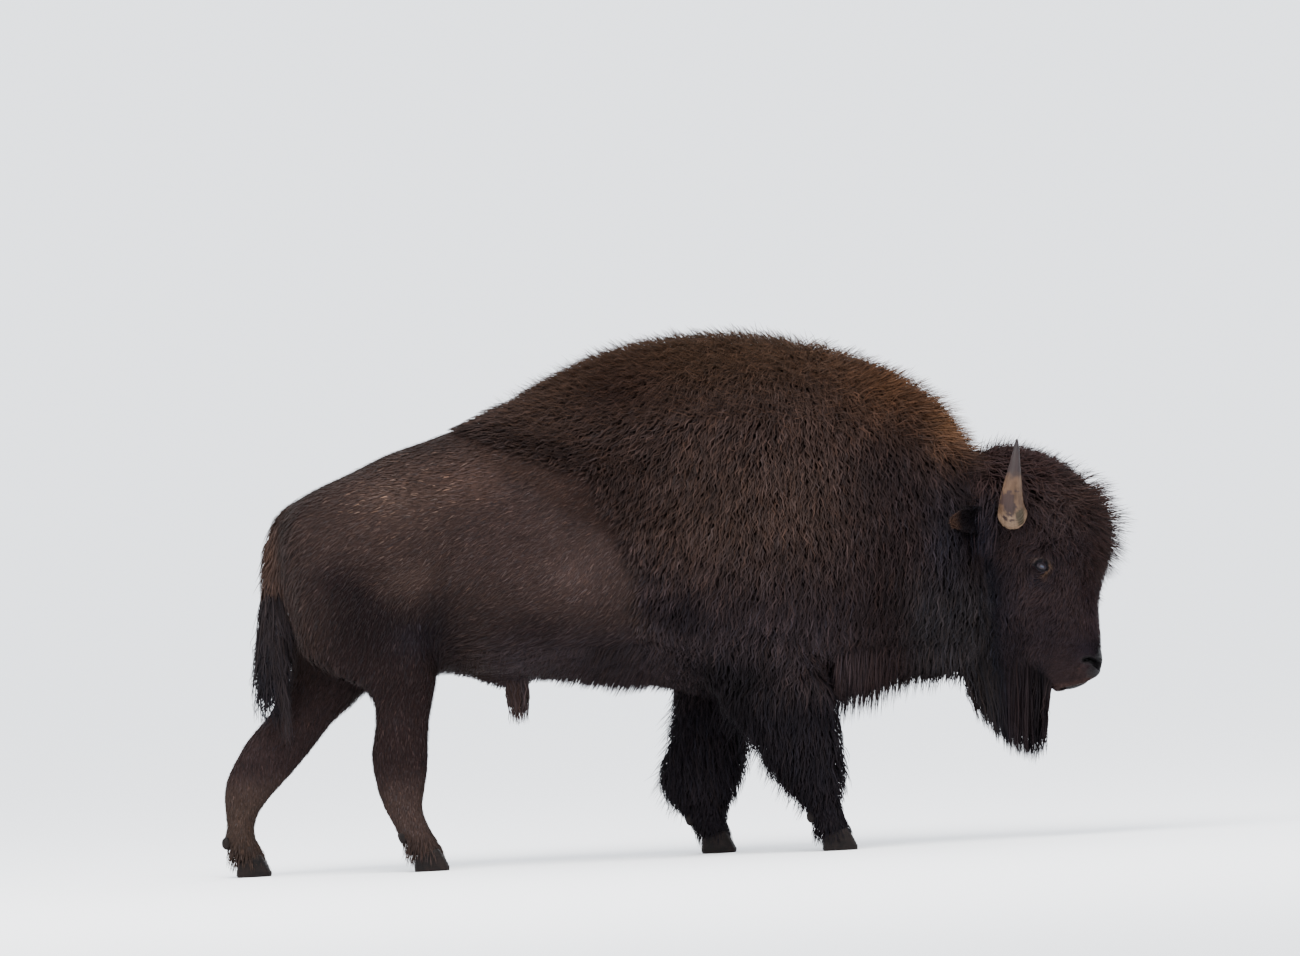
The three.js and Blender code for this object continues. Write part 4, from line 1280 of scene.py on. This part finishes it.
def grow_wool():
    """Crinkled wool on neck, shoulder and side; finer, shorter and more upright over the hump."""
    hump = ramp(CZ, 1.36, 1.50) * ramp(CX, 2.46, 2.36)
    for name, share, spacing, wide, rows, short in (
        ("coat_wool", 1 - hump, 0.0094, 0.0083, 5, 1.0),
        ("coat_hump", hump, 0.0070, 0.0064, 4, 0.80),
    ):
        at = rooted(WOOL * share, spacing)
        deep = at.deep
        swirl = 0.17 * value_noise(at.p, 6, 1) + 0.17 * value_noise(at.p, 17, 2)
        stand = ramp(at.nz, 0.40, 0.85) * ramp(at.x, 0.85, 1.15)
        swirl += stand * rng.normal(0, 0.45, at.m)
        crest = ramp(at.z, 1.46, 1.60) * ramp(at.x, 0.9, 1.2)
        length = short * (0.010 + 1.65 * deep) * at.vary(0.75, 1.25) * (1 - 0.15 * crest)
        height = deep * at.vary(0.68, 1.05) * (1 + 0.10 * value_noise(at.p, 30, 4))
        height += 0.012 * crest * ramp(deep, 0.015, 0.04) * rng.random(at.m)
        under = ramp(at.nz, -0.25, -0.6)
        goal = hang(at, deep * at.vary(0.8, 1.5))
        standing = at.p + crest_way(at) * (length * at.vary(0.7, 1.1))[:, None]
        goal = np.where(stand[:, None] > 0, standing, goal)
        tone = 1 + crest[:, None] * np.array([0.38, 0.29, 0.18]) * rng.random((at.m, 1))
        tufts(name, at, at.turned(swirl), length, wide * at.vary(0.7, 1.25), height, rows,
              wave=0.0034, free=np.maximum(under * 0.9, stand * 0.35), goal=goal,
              shade=(0.45, 0.88, 1.27), wildness=0.08, axis=("x", 1.05),
              tone=tone * sunlit(at.p) * strands(at.p, 0.34), vary=0.22,
              contrast=ramp(deep, 0.004, 0.036) * (1 - 0.85 * stand))


def grow_legs():
    """Long hair of the forelegs, and the short hair of all pasterns."""
    at = rooted(FORELEGS & (CZ > HAIR_LINE), spacing=0.0082)
    bushy = ramp(at.z, 0.45, 0.32) * ramp(at.z, 0.13, 0.22)
    length = (0.010 + 1.5 * at.deep) * at.vary(0.75, 1.35) * (1 + 0.35 * bushy)
    height = at.deep * at.vary(0.45, 1.1) * (1 + 0.5 * bushy)
    goal = hang(at, length, 0.35)
    tufts("coat_forelegs", at, at.turned(0.3 * value_noise(at.p, 14, 1)), length,
          width=0.0080 * at.vary(0.7, 1.2), height=height, rows=4, wave=0.0025,
          free=0.30 + 0.3 * rng.random(at.m), goal=goal, wildness=0.14, axis=("z", 1.80))
    # hair of the pasterns falls over the hooves' upper edge
    at = rooted(between(CZ, 0.055, 0.125), spacing=0.0062)
    low = ramp(at.z, 0.12, 0.075)
    length = (0.020 + 0.014 * low) * at.vary(0.6, 1.5)
    goal = hang(at, length, 0.25) + at.n * (0.009 * low)[:, None]
    goal[:, 2] = np.maximum(goal[:, 2], 0.012)
    tufts("coat_pasterns", at, at.way, length, width=0.0046 * at.vary(0.7, 1.3),
          height=0.004 + 0.007 * low, rows=3, free=0.35 + 0.6 * low, goal=goal,
          shade=(0.6, 0.9, 1.15), wildness=0.16, axis=("x", 0.1))


def grow_head():
    """The bonnet and the long hair of cheek and throat, then the short hair of the face."""
    deep = depth(ground.centre)
    long_part = deep > LONG_HAIR
    spacing = np.interp(deep, [0.004, 0.010, 0.020, 0.03, 0.05],
                        [0.0032, 0.0043, 0.0053, 0.0062, 0.0066])
    at = rooted(HEAD & long_part, spacing)
    frizz = ramp(at.x + 0.5 * (at.z - 1.0), 2.56, 2.74) * ramp(at.z, 0.86, 0.94)
    length = (0.012 + 1.35 * at.deep) * at.vary(0.7, 1.3) * (1 - 0.2 * frizz)
    height = at.deep * at.vary(0.55, 1.10) + 0.010 * frizz * rng.random(at.m)
    cheek = ramp(at.x, 2.56, 2.48) * ramp(at.z, 0.80, 0.62)
    under = np.maximum(ramp(at.nz, -0.2, -0.6), cheek)
    goal = hang(at, length * 1.1)
    swirl = 0.45 * value_noise(at.p, 22, 1) + (0.25 + 0.3 * frizz) * rng.normal(0, 1, at.m)
    tufts("coat_bonnet", at, at.turned(swirl), length, width=0.0056 * at.vary(0.7, 1.25),
          height=height, rows=4, wave=0.0045, free=under * 0.9, goal=goal,
          shade=(0.35, 0.85, 1.45), wildness=0.15, axis=("z", 2.56), tone=strands(at.p, 0.3))
    # locks from behind the horn that hang over the ear
    near = np.linalg.norm(np.stack([CX, CQ, CZ], 1) - (2.445, 0.15, 1.10), axis=1)
    at = rooted(HEAD & (near < 0.085), spacing=0.0070)
    end_x = 2.425 + 0.5 * (at.x - 2.445) + rng.normal(0, 0.012, at.m)
    end = np.stack([end_x, np.sign(at.y) * at.vary(0.20, 0.262), at.vary(0.90, 1.02)], 1)
    tufts("coat_temples", at, at.way, np.linalg.norm(end - at.p, axis=1),
          width=0.0062 * at.vary(0.7, 1.3), height=0.05, rows=6, wave=0.004, goal=end,
          shade=(0.5, 0.9, 1.35), wildness=0.15, axis=("z", 2.44), tone=(0.72, 0.80, 0.95))
    at = rooted(HEAD & ~long_part, spacing)
    thin = 1 - 0.8 * patch(at.p, 2.80, 0.555, 0.075, 0.085) * ramp(at.x, 2.70, 2.74)
    length = (0.004 + 0.001 * thin + 1.45 * at.deep * thin) * at.vary(0.7, 1.3)
    tufts("coat_face", at, at.turned(0.3 * value_noise(at.p, 22, 1)), length,
          width=np.clip(length * 0.18, 0.0018, 0.0050), height=at.deep * thin * at.vary(0.4, 1.0),
          rows=3, wave=0.002, shade=(0.45, 0.9, 1.35), wildness=0.16, axis=("z", 2.66))


def grow_rear():
    """Short flat tufts, longer under the belly, behind the thighs and on the tail's stem."""
    at = rooted(REAR & (CZ > HAIR_LINE), spacing=0.0088 - 0.0018 * ramp(CZ, 0.45, 0.2))
    swirl = 0.15 * value_noise(at.p, 8, 1) + 0.15 * value_noise(at.p, 25, 2)
    low = ramp(at.z, 0.6, 0.2)
    length = (0.028 - 0.009 * low) * at.vary(0.7, 1.3)
    height = (0.0068 - 0.0036 * low) * at.vary(0.3, 1.3)
    belly = ramp(at.nz, -0.3, -0.7) * ramp(at.z, 0.5, 0.55)
    seat = ramp(-at.nx, 0.3, 0.8) * ramp(at.z, 0.6, 0.7)
    stem = ramp(at.x, 0.23, 0.20) * ramp(np.abs(at.y), 0.055, 0.04) * ramp(at.z, 0.84, 0.90)
    length *= 1 + 0.8 * belly + 0.6 * seat + 0.8 * stem
    height += (0.008 * belly + 0.012 * seat * (1 - stem)) * rng.random(at.m) + 0.006 * stem
    straw = (rng.random(at.m) < 0.14 * patch(at.p, 0.60, 1.20, 0.22, 0.13)) & (at.z > 0.9)
    tufts("coat_short", at, at.turned(swirl), length, width=0.0050 * at.vary(0.7, 1.3),
          height=height, rows=2, roof=False, shade=(0.75, 0.95, 1.2), wildness=0.14,
          axis=("x", 0.85), tone=np.where(straw[:, None], (2.3, 2.3, 2.1), 1.0), vary=0.24)


def grow_fuzz():
    """Fine hair that stands out of the crest of the back and of the front of the head."""
    top = ramp(NZ, 0.30, 0.75) * ramp(CX, 0.85, 1.15)
    edge = ramp(NX, 0.2, 0.6) * ramp(CX, 2.15, 2.25) * ramp(CZ, 1.2, 1.3)
    at = rooted(WOOL * np.maximum(top, edge), spacing=0.0062 - 0.0014 * ramp(CX, 1.2, 1.5))
    length = (0.012 + 1.60 * at.deep) * at.vary(0.65, 1.2) * (1 + 0.25 * ramp(at.x, 2.1, 2.3))
    tone = np.array([1.42, 1.38, 1.25]) * (1 + 0.15 * rng.normal(0, 1, (at.m, 1)))
    tufts("coat_crest", at, at.way, length, width=0.0034 * at.vary(0.7, 1.3),
          height=0.6 * at.deep, rows=3, roof=False, wave=0.003,
          goal=at.p + crest_way(at) * length[:, None], shade=(0.7, 1.0, 1.45),
          axis=("x", 1.05), tone=tone * sunlit(at.p))
    front = ramp(0.8 * NX + 0.6 * NZ, 0.15, 0.6) * ramp(CZ, 0.66, 0.86)
    at = rooted(HEAD * front * (depth(ground.centre) > 0.018), spacing=0.0062)
    stiff = ramp(at.nx, 0.4, 0.9) * ramp(at.z, 0.82, 0.92)
    length = (0.010 + 1.40 * at.deep) * at.vary(0.65, 1.25) * (1 + 0.75 * stiff)
    way = unit(at.n + 0.75 * at.way + rng.normal(0, 0.22, (at.m, 3)))
    tufts("coat_frizz", at, at.way, length, width=0.0034 * at.vary(0.7, 1.3),
          height=0.6 * at.deep, rows=3, roof=False, wave=0.004,
          goal=at.p + way * length[:, None], shade=(0.6, 1.0, 1.4), axis=("z", 2.56),
          tone=(1.12, 1.0, 0.95))


def grow_ears():
    at = rooted(EARS, spacing=0.0040)
    along = np.stack([np.full(at.m, -0.62), 0.70 * np.sign(at.y), np.full(at.m, -0.25)], 1)
    inner = ramp(np.abs(at.y), 0.25, 0.18)
    length = (0.018 + 0.040 * inner) * at.vary(0.6, 1.3)
    goal = hang(at, length, 0.5)
    tufts("coat_ears", at, along_skin(along, at.n), length, width=0.0036 + 0.002 * inner,
          height=(0.004 + 0.016 * inner) * at.vary(0.3, 1.3), rows=3, free=0.45 * inner,
          goal=goal, wildness=0.3, axis=("x", 1.03),
          tone=1 - inner[:, None] * (0.5, 0.45, 0.35))


def locks(name, node, at, way, goal, width, height, rows, **look):
    """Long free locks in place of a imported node."""
    length = np.linalg.norm(goal - at.p, axis=1)
    made = tufts(name, at, way, length, width * at.vary(0.6, 1.3), height, rows, goal=goal,
                 wildness=0.1, **look)
    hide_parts(node)


def grow_beard():
    throat = between(CX, 2.36, 2.64) & (CZ < 0.66) & (CQ < 0.075) & (NZ < 0.1)
    at = rooted(throat & HAIRY, spacing=0.0060)
    strand = value_noise(at.p * (1, 1, 0.2), 45, 1)
    end_x = at.x - 0.012 + (2.555 - at.x) * at.vary(-0.05, 0.40) + 0.012 * strand
    end_x = end_x + rng.normal(0, 0.006, at.m)
    end_x = np.clip(end_x, 2.372, 2.618 + rng.normal(0, 0.007, at.m))
    low = np.interp(end_x, [2.36, 2.40, 2.445, 2.476, 2.51, 2.577, 2.612, 2.63],
                    [0.45, 0.365, 0.315, 0.275, 0.242, 0.222, 0.238, 0.32])
    end_z = low + 0.15 * rng.random(at.m) ** 1.5 + 0.025 * (1 + strand)
    end_y = at.y * at.vary(0.25, 0.9) + 0.012 * value_noise(at.p, 45, 3)
    end_y = end_y + rng.normal(0, 0.004, at.m)
    locks("coat_beard", "beard", at, at.way, np.stack([end_x, end_y, end_z], 1), width=0.0080,
          height=0.012, rows=9, wave=0.004, shade=(0.5, 0.9, 1.3), axis=("z", 2.56))


def grow_tassel():
    m = TASSEL_LOCKS
    z = 0.62 + 0.38 * rng.random(m) ** 0.75
    turn = rng.uniform(0, 2 * math.pi, m)
    n = np.stack([np.cos(turn), np.sin(turn), np.zeros(m)], 1)
    p = np.stack([np.interp(z, [0.62, 0.92, 1.0], [0.146, 0.160, 0.166]), 0 * z, z], 1) + n * 0.014
    end_z = np.maximum(0.466 + 0.26 * rng.random(m) ** 1.2, z - rng.uniform(0.12, 0.36, m))
    strand = value_noise(np.stack([np.cos(turn), np.sin(turn), 0.5 * z], 1), 3.2, 5)
    turn += 0.5 * strand + rng.normal(0, 0.2, m)
    out = (0.82 + 0.25 * strand + rng.uniform(-0.25, 0.25, m)).clip(0.1, 1.1)
    spread = out * np.interp(end_z, [0.46, 0.52, 0.62, 0.78, 0.88, 0.95],
                             [0.034, 0.056, 0.070, 0.068, 0.034, 0.022])
    x = np.interp(end_z, [0.47, 0.60, 0.75, 0.90], [0.132, 0.150, 0.164, 0.163])
    x = x + spread * np.cos(turn)
    # a share of them hangs between the stem and the thighs
    inner = np.arange(m) % 4 == 0
    z[inner] = rng.uniform(0.88, 1.04, inner.sum())
    end_z[inner] = z[inner] - rng.uniform(0.20, 0.52, inner.sum())
    x[inner] = rng.uniform(0.190, 0.246, inner.sum()) - 0.036 * ramp(end_z[inner], 0.76, 0.55)
    p[inner, 0] = np.interp(z[inner], [0.88, 1.04], [0.168, 0.182])
    p[inner, 2] = z[inner]
    goal = np.stack([x, 0.62 * spread * np.sin(turn), end_z], 1)
    locks("coat_tassel", "tail_tassel", Roots(p, n), -UP, goal, width=0.0080,
          height=0.004 + 0.016 * ramp(z, 0.96, 0.84), rows=8, wave=0.007,
          shade=(0.5, 0.9, 1.35), axis=("z", 0.15), tone=(0.40, 0.51, 0.68))


def grow_fringes():
    """Hair that hangs from the belly and from the chest, and the feather behind the forelegs."""
    belly = between(CX, 0.74, 1.56) & between(CZ, 0.5, 0.70) & (NZ < -0.45)
    at = rooted(belly & HAIRY, spacing=0.0085)
    length = (0.018 + 0.034 * ramp(at.x, 0.95, 1.3)) * at.vary(0.5, 1.3)
    length = length * (1 + 0.3 * value_noise(at.p, 30, 3))
    goal = at.p + np.stack([-0.5 * length, 0.2 * at.ny * length, -0.85 * length], 1)
    tufts("coat_belly", at, at.way, length, width=0.0052 * at.vary(0.6, 1.3), height=0.006,
          rows=3, wave=0.002, goal=goal, shade=(0.7, 0.95, 1.2), axis=("x", 0.85))

    chest = between(CX, 1.96, 2.42) & between(CZ, 0.5, 0.68) & (NZ < -0.35)
    at = rooted(chest & HAIRY, spacing=0.0090)
    length = (0.085 + 0.045 * ramp(at.x, 2.25, 2.05)) * at.vary(0.6, 1.25)
    length *= 1 + 0.25 * value_noise(at.p, 26, 3)
    goal = at.p + np.stack([-0.12 * length, 0.3 * at.ny * length, -length], 1)
    goal = goal + rng.normal(0, 0.006, (at.m, 3))
    # painted light: the chest's hanging hair is painted 1.6 times paler, as if lit from below on its
    # shaded side
    tufts("coat_chest", at, at.way, length, width=0.0050 * at.vary(0.6, 1.3), height=0.010,
          rows=4, wave=0.003, goal=goal, shade=(0.6, 0.95, 1.25), axis=("x", 0.85), tone=1.6)

    at = rooted(FORELEGS & (NX < -0.25) & between(CZ, 0.16, 0.56), spacing=0.0100)
    length = (0.048 + 1.2 * at.deep) * at.vary(0.6, 1.4)
    goal = at.p + unit(0.80 * at.n - UP + rng.normal(0, 0.15, (at.m, 3))) * length[:, None]
    tufts("coat_feather", at, at.way, length, width=0.0044 * at.vary(0.6, 1.3), height=0.010,
          rows=4, wave=0.003, goal=goal, shade=(0.6, 0.95, 1.25), axis=("z", 1.80))


def grow_sheath():
    tip = (np.abs(CX - 0.935) < 0.036) & (CZ < 0.63) & (CQ < 0.04) & (NZ < 0)
    at = rooted(tip, spacing=0.0052)
    end_z = 0.442 + 0.11 * rng.random(at.m) ** 1.3
    x = 0.936 + (at.x - 0.935) * 0.55 + 0.010 * value_noise(at.p, 60, 1)
    x = x + rng.normal(0, 0.005, at.m)
    locks("coat_sheath", "sheath_tuft", at, -UP, np.stack([x, at.y * 0.5, end_z], 1),
          width=0.0055, height=0.006, rows=6, wave=0.003, shade=(0.7, 1.0, 1.5),
          axis=("z", 0.93), tone=(1.25, 1.15, 1.05))


for grow in (grow_wool, grow_legs, grow_head, grow_rear, grow_fuzz, grow_ears, grow_beard,
             grow_tassel, grow_fringes, grow_sheath):
    grow()


# ------------------------------------------------------------------ eyes, horns, hooves
def around_uv(mesh, turn, along):
    index = read(mesh.loops, "vertex_index", 1, np.int32)
    add_uv(mesh, "Around", turn[index], along[index])


def build_eyes():
    wet = eye_material()
    b = circle(EYE_ROUND)
    angles = math.pi * (0.003 + 0.994 * np.arange(EYE_RINGS) / (EYE_RINGS - 1)) ** 1.15
    turn, far = np.tile(b, EYE_RINGS), np.repeat(angles, EYE_ROUND)
    across, high = np.cos(turn) * np.sin(far), np.sin(turn) * np.sin(far)
    pupil_reflection = np.hypot(across / 0.27, high / 0.12)
    iris = ramp(far, 0.62, 0.54)
    # painted reflection: the eyeball is painted a dull blue-grey rather than dark, and lighter and
    # bluer over the pupil
    colour = over(linear(42, 37, 41), [
        ((36, 31, 34), iris),
        ((22, 19, 22), iris * ramp(far, 0.42, 0.60)),
        ((46, 50, 62), ramp(pupil_reflection, 1.4, 0.7)),
    ])
    for name, side in SIDES.items():
        centre, out, slit, up = eye_frame(side)
        rings = []
        for a in angles:
            cornea = 0.0026 * smooth((0.62 - a) / 0.5)
            r = EYE_RADIUS - 0.0004 + cornea
            sideways = np.cos(b)[:, None] * slit + np.sin(b)[:, None] * up
            rings.append(centre + r * (math.cos(a) * out + math.sin(a) * sideways))
        ball = shell("eyeball_" + name, rings)
        paint(ball.data, "tint", colour)
        around_uv(ball.data, turn / 2 / math.pi, far)
        ball.data.materials.append(wet)
        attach(ball, "root")
        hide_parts("eye_" + name)


# along the horn from root to tip: x, side, z, radius
HORN = [
    (2.548, 0.120, 1.046, 0.044), (2.546, 0.178, 1.040, 0.046), (2.544, 0.226, 1.044, 0.045),
    (2.543, 0.262, 1.072, 0.040), (2.548, 0.280, 1.118, 0.033), (2.556, 0.282, 1.168, 0.024),
    (2.564, 0.274, 1.220, 0.015), (2.571, 0.262, 1.262, 0.007), (2.573, 0.258, 1.274, 0.002),
]


def horn_colour(p):
    """Worn, and pale at the base where light from below is painted, with an olive and a dark ragged
    patch, grey to the tip.
    """
    x, z = p[:, 0], p[:, 2]
    out = np.abs(p[:, 1])
    rag = 0.30 * value_noise(p, 60, 9) + 0.22 * value_noise(p, 150, 1)
    worn = ramp(value_noise(p, 45, 2) + 0.6 * value_noise(p, 120, 3), -0.2, 0.6)
    lobe = bell(x - 2.572, 0.020) * bell(z - 1.034, 0.042) * ramp(out, 0.20, 0.23)
    dark = bell(x - 2.535, 0.027) * bell(z - 1.076, 0.058) * ramp(out, 0.25, 0.27)
    colour = over(linear(138, 112, 82), [
        ((112, 90, 66), 0.8 * worn),
        # painted light: the base is painted pale, for light from below on its shaded underside
        ((176, 150, 114), 0.9 * ramp(z + 0.01 * rag, 1.062, 1.028)),
        ((92, 82, 58), ramp(lobe + rag, 0.45, 0.65)),
        ((80, 65, 57), 0.95 * ramp(dark + rag, 0.42, 0.56)),
        ((76, 66, 60), ramp(z + 0.035 * rag, 1.140, 1.185)),
        ((62, 55, 52), ramp(z, 1.22, 1.27)),
    ])
    return colour * np.array([0.285, 0.265, 0.315])


def build_horns():
    keratin = horn_material()
    rows = even_rows(HORN, 120, 40)
    step = np.linalg.norm(np.diff(rows[:, :3], axis=0), axis=1)
    span = np.concatenate([[0], np.cumsum(step)])
    b = circle(48)
    for name, side in SIDES.items():
        rings = []
        cross = np.array([1.0, 0, 0])
        for i, s in enumerate(span):
            way = unit(rows[min(i + 1, len(rows) - 1), :3] - rows[max(i - 1, 0), :3])
            cross = unit(cross - (cross @ way) * way)
            other = np.cross(way, cross)
            low = smooth((0.20 - s) / 0.12)
            q = np.stack([np.cos(b) * 4, np.sin(b) * 4, np.full(len(b), s * 60)], 1)
            beat = s * 2 * math.pi / 0.013 + 1.5 * value_noise(q * 0.5, 1.0, 5)
            rough = 0.0012 * value_noise(q, 1.0, 6) * (0.3 + 0.7 * low)
            groove = 0.0009 * np.abs(value_noise(q * (3, 3, 0.12), 1.0, 7))
            groove = groove * smooth((0.30 - s) / 0.1)
            # rings of growth, then roughness and grooves along the horn
            relief = 0.0016 * low * np.sin(beat) + rough - groove
            r = rows[i, 3] + relief * min(1, rows[i, 3] / 0.012)
            ring = (np.cos(b) * r)[:, None] * cross + (np.sin(b) * r)[:, None] * other
            rings.append((rows[i, :3] + ring) * (1, side, 1))
        horn = shell("horn_sheath_" + name, rings)
        paint(horn.data, "tint", horn_colour(local(coords(horn.data))))
        turn, along = np.tile(b / 2 / math.pi, len(rows)), np.repeat(span / span[-1], len(b))
        around_uv(horn.data, turn, along)
        horn.data.materials.append(keratin)
        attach(horn, "root")
        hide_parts("horn_" + name)


def build_hooves():
    """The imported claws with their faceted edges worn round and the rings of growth."""
    keratin = hoof_material()
    for foot, (toe, _) in FEET.items():
        for which in ("inner", "outer"):
            for kind, voxel in CLAW_VOXELS.items():
                node = "%s_%s_%s" % (kind, foot, which)
                claw = make_object(node.replace(kind, kind + "_shell"), *welded(node))
                voxel_remesh(claw, voxel)
                co = coords(claw.data)
                # the sole stays flat
                co = relax(co, edges(claw.data), 5, 0.5, co[:, 2] >= SOLE)
                set_coords(claw.data, co)
                if kind == "hoof":
                    # rings run along the slanting coronet
                    p = local(co)
                    slope = p[:, 2] + 0.32 * (p[:, 0] - toe)
                    ring = np.sin(slope * 2 * math.pi / 0.0085 + 1.2 * value_noise(p, 30))
                    out = 0.0007 * ring + 0.0006 * value_noise(p, 90, 2)
                    out *= ramp(p[:, 2], 0.004, 0.012)
                    set_coords(claw.data, co + normals(claw.data) * out[:, None])
                claw.data.materials.append(keratin)
                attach(claw, "root")
                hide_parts(node)


build_eyes()
build_horns()
build_hooves()
lap("eyes, horns, hooves")


# ------------------------------------------------------------------ camera, light, floor
MM_PER_PIXEL = 3.2
PIXELS = (1300, 956)
ROLL = math.radians(3.0)
LIFT = math.radians(1.0)
BESIDE = math.radians(1.1)
DISTANCE = 60.0
FLOOR_FLAT = 100.0
FLOOR_END = 400.0
SWEEP = 60.0
AIM = (1.3935 - SHIFT, 0, 1.215)


def build_stage():
    """The photo's camera, a pale floor and soft light."""
    scene = bpy.context.scene
    cam_data = bpy.data.cameras.new("camera")
    cam_data.sensor_width = 36
    cam_data.lens = 36 * DISTANCE / (PIXELS[0] * MM_PER_PIXEL / 1000)
    cam_data.clip_end = 900
    cam = bpy.data.objects.new("camera", cam_data)
    scene.collection.objects.link(cam)
    way = Vector((-math.sin(BESIDE), math.cos(BESIDE), -math.tan(LIFT))).normalized()
    cam.location = Vector(AIM) - way * DISTANCE
    turn = way.to_track_quat("-Z", "Y").to_matrix().to_4x4() @ Matrix.Rotation(-ROLL, 4, "Z")
    cam.rotation_euler = turn.to_euler()
    scene.camera = cam

    # the floor is flat under the animal and sweeps up far away, all round, so no horizon shows
    a = circle(96)
    rings = []
    for r in [0.5, 20, 60, FLOOR_FLAT, *np.linspace(120, FLOOR_END, 29)]:
        height = SWEEP * max(0.0, (r - FLOOR_FLAT) / (FLOOR_END - FLOOR_FLAT)) ** 2
        rings.append(np.stack([r * np.cos(a), r * np.sin(a), np.full(len(a), height)], 1))
    verts, faces = tube(rings, closed=False)
    floor = make_object("floor", verts, [f[::-1] for f in faces] + [range(len(a))])
    paper = Material("pale_floor")
    paper.shade({"Base Color": (0.86, 0.87, 0.89, 1), "Roughness": 0.9, "Specular IOR Level": 0.0})
    floor.data.materials.append(paper.mat)

    world = bpy.data.worlds.new("studio")
    world.use_nodes = True
    background = world.node_tree.nodes["Background"]
    background.inputs["Color"].default_value = (0.93, 0.96, 1.0, 1)
    background.inputs["Strength"].default_value = 3.0
    scene.world = world

    lamp = bpy.data.lights.new("sky", "AREA")
    lamp.shape, lamp.size, lamp.energy, lamp.color = "DISK", 5.0, 1000, (1.0, 0.97, 0.93)
    light = bpy.data.objects.new("sky", lamp)
    light.location = (-1.0, -3.0, 7.0)
    down = Vector((0, 0, 0.9)) - light.location
    light.rotation_euler = down.to_track_quat("-Z", "Y").to_euler()
    scene.collection.objects.link(light)


build_stage()
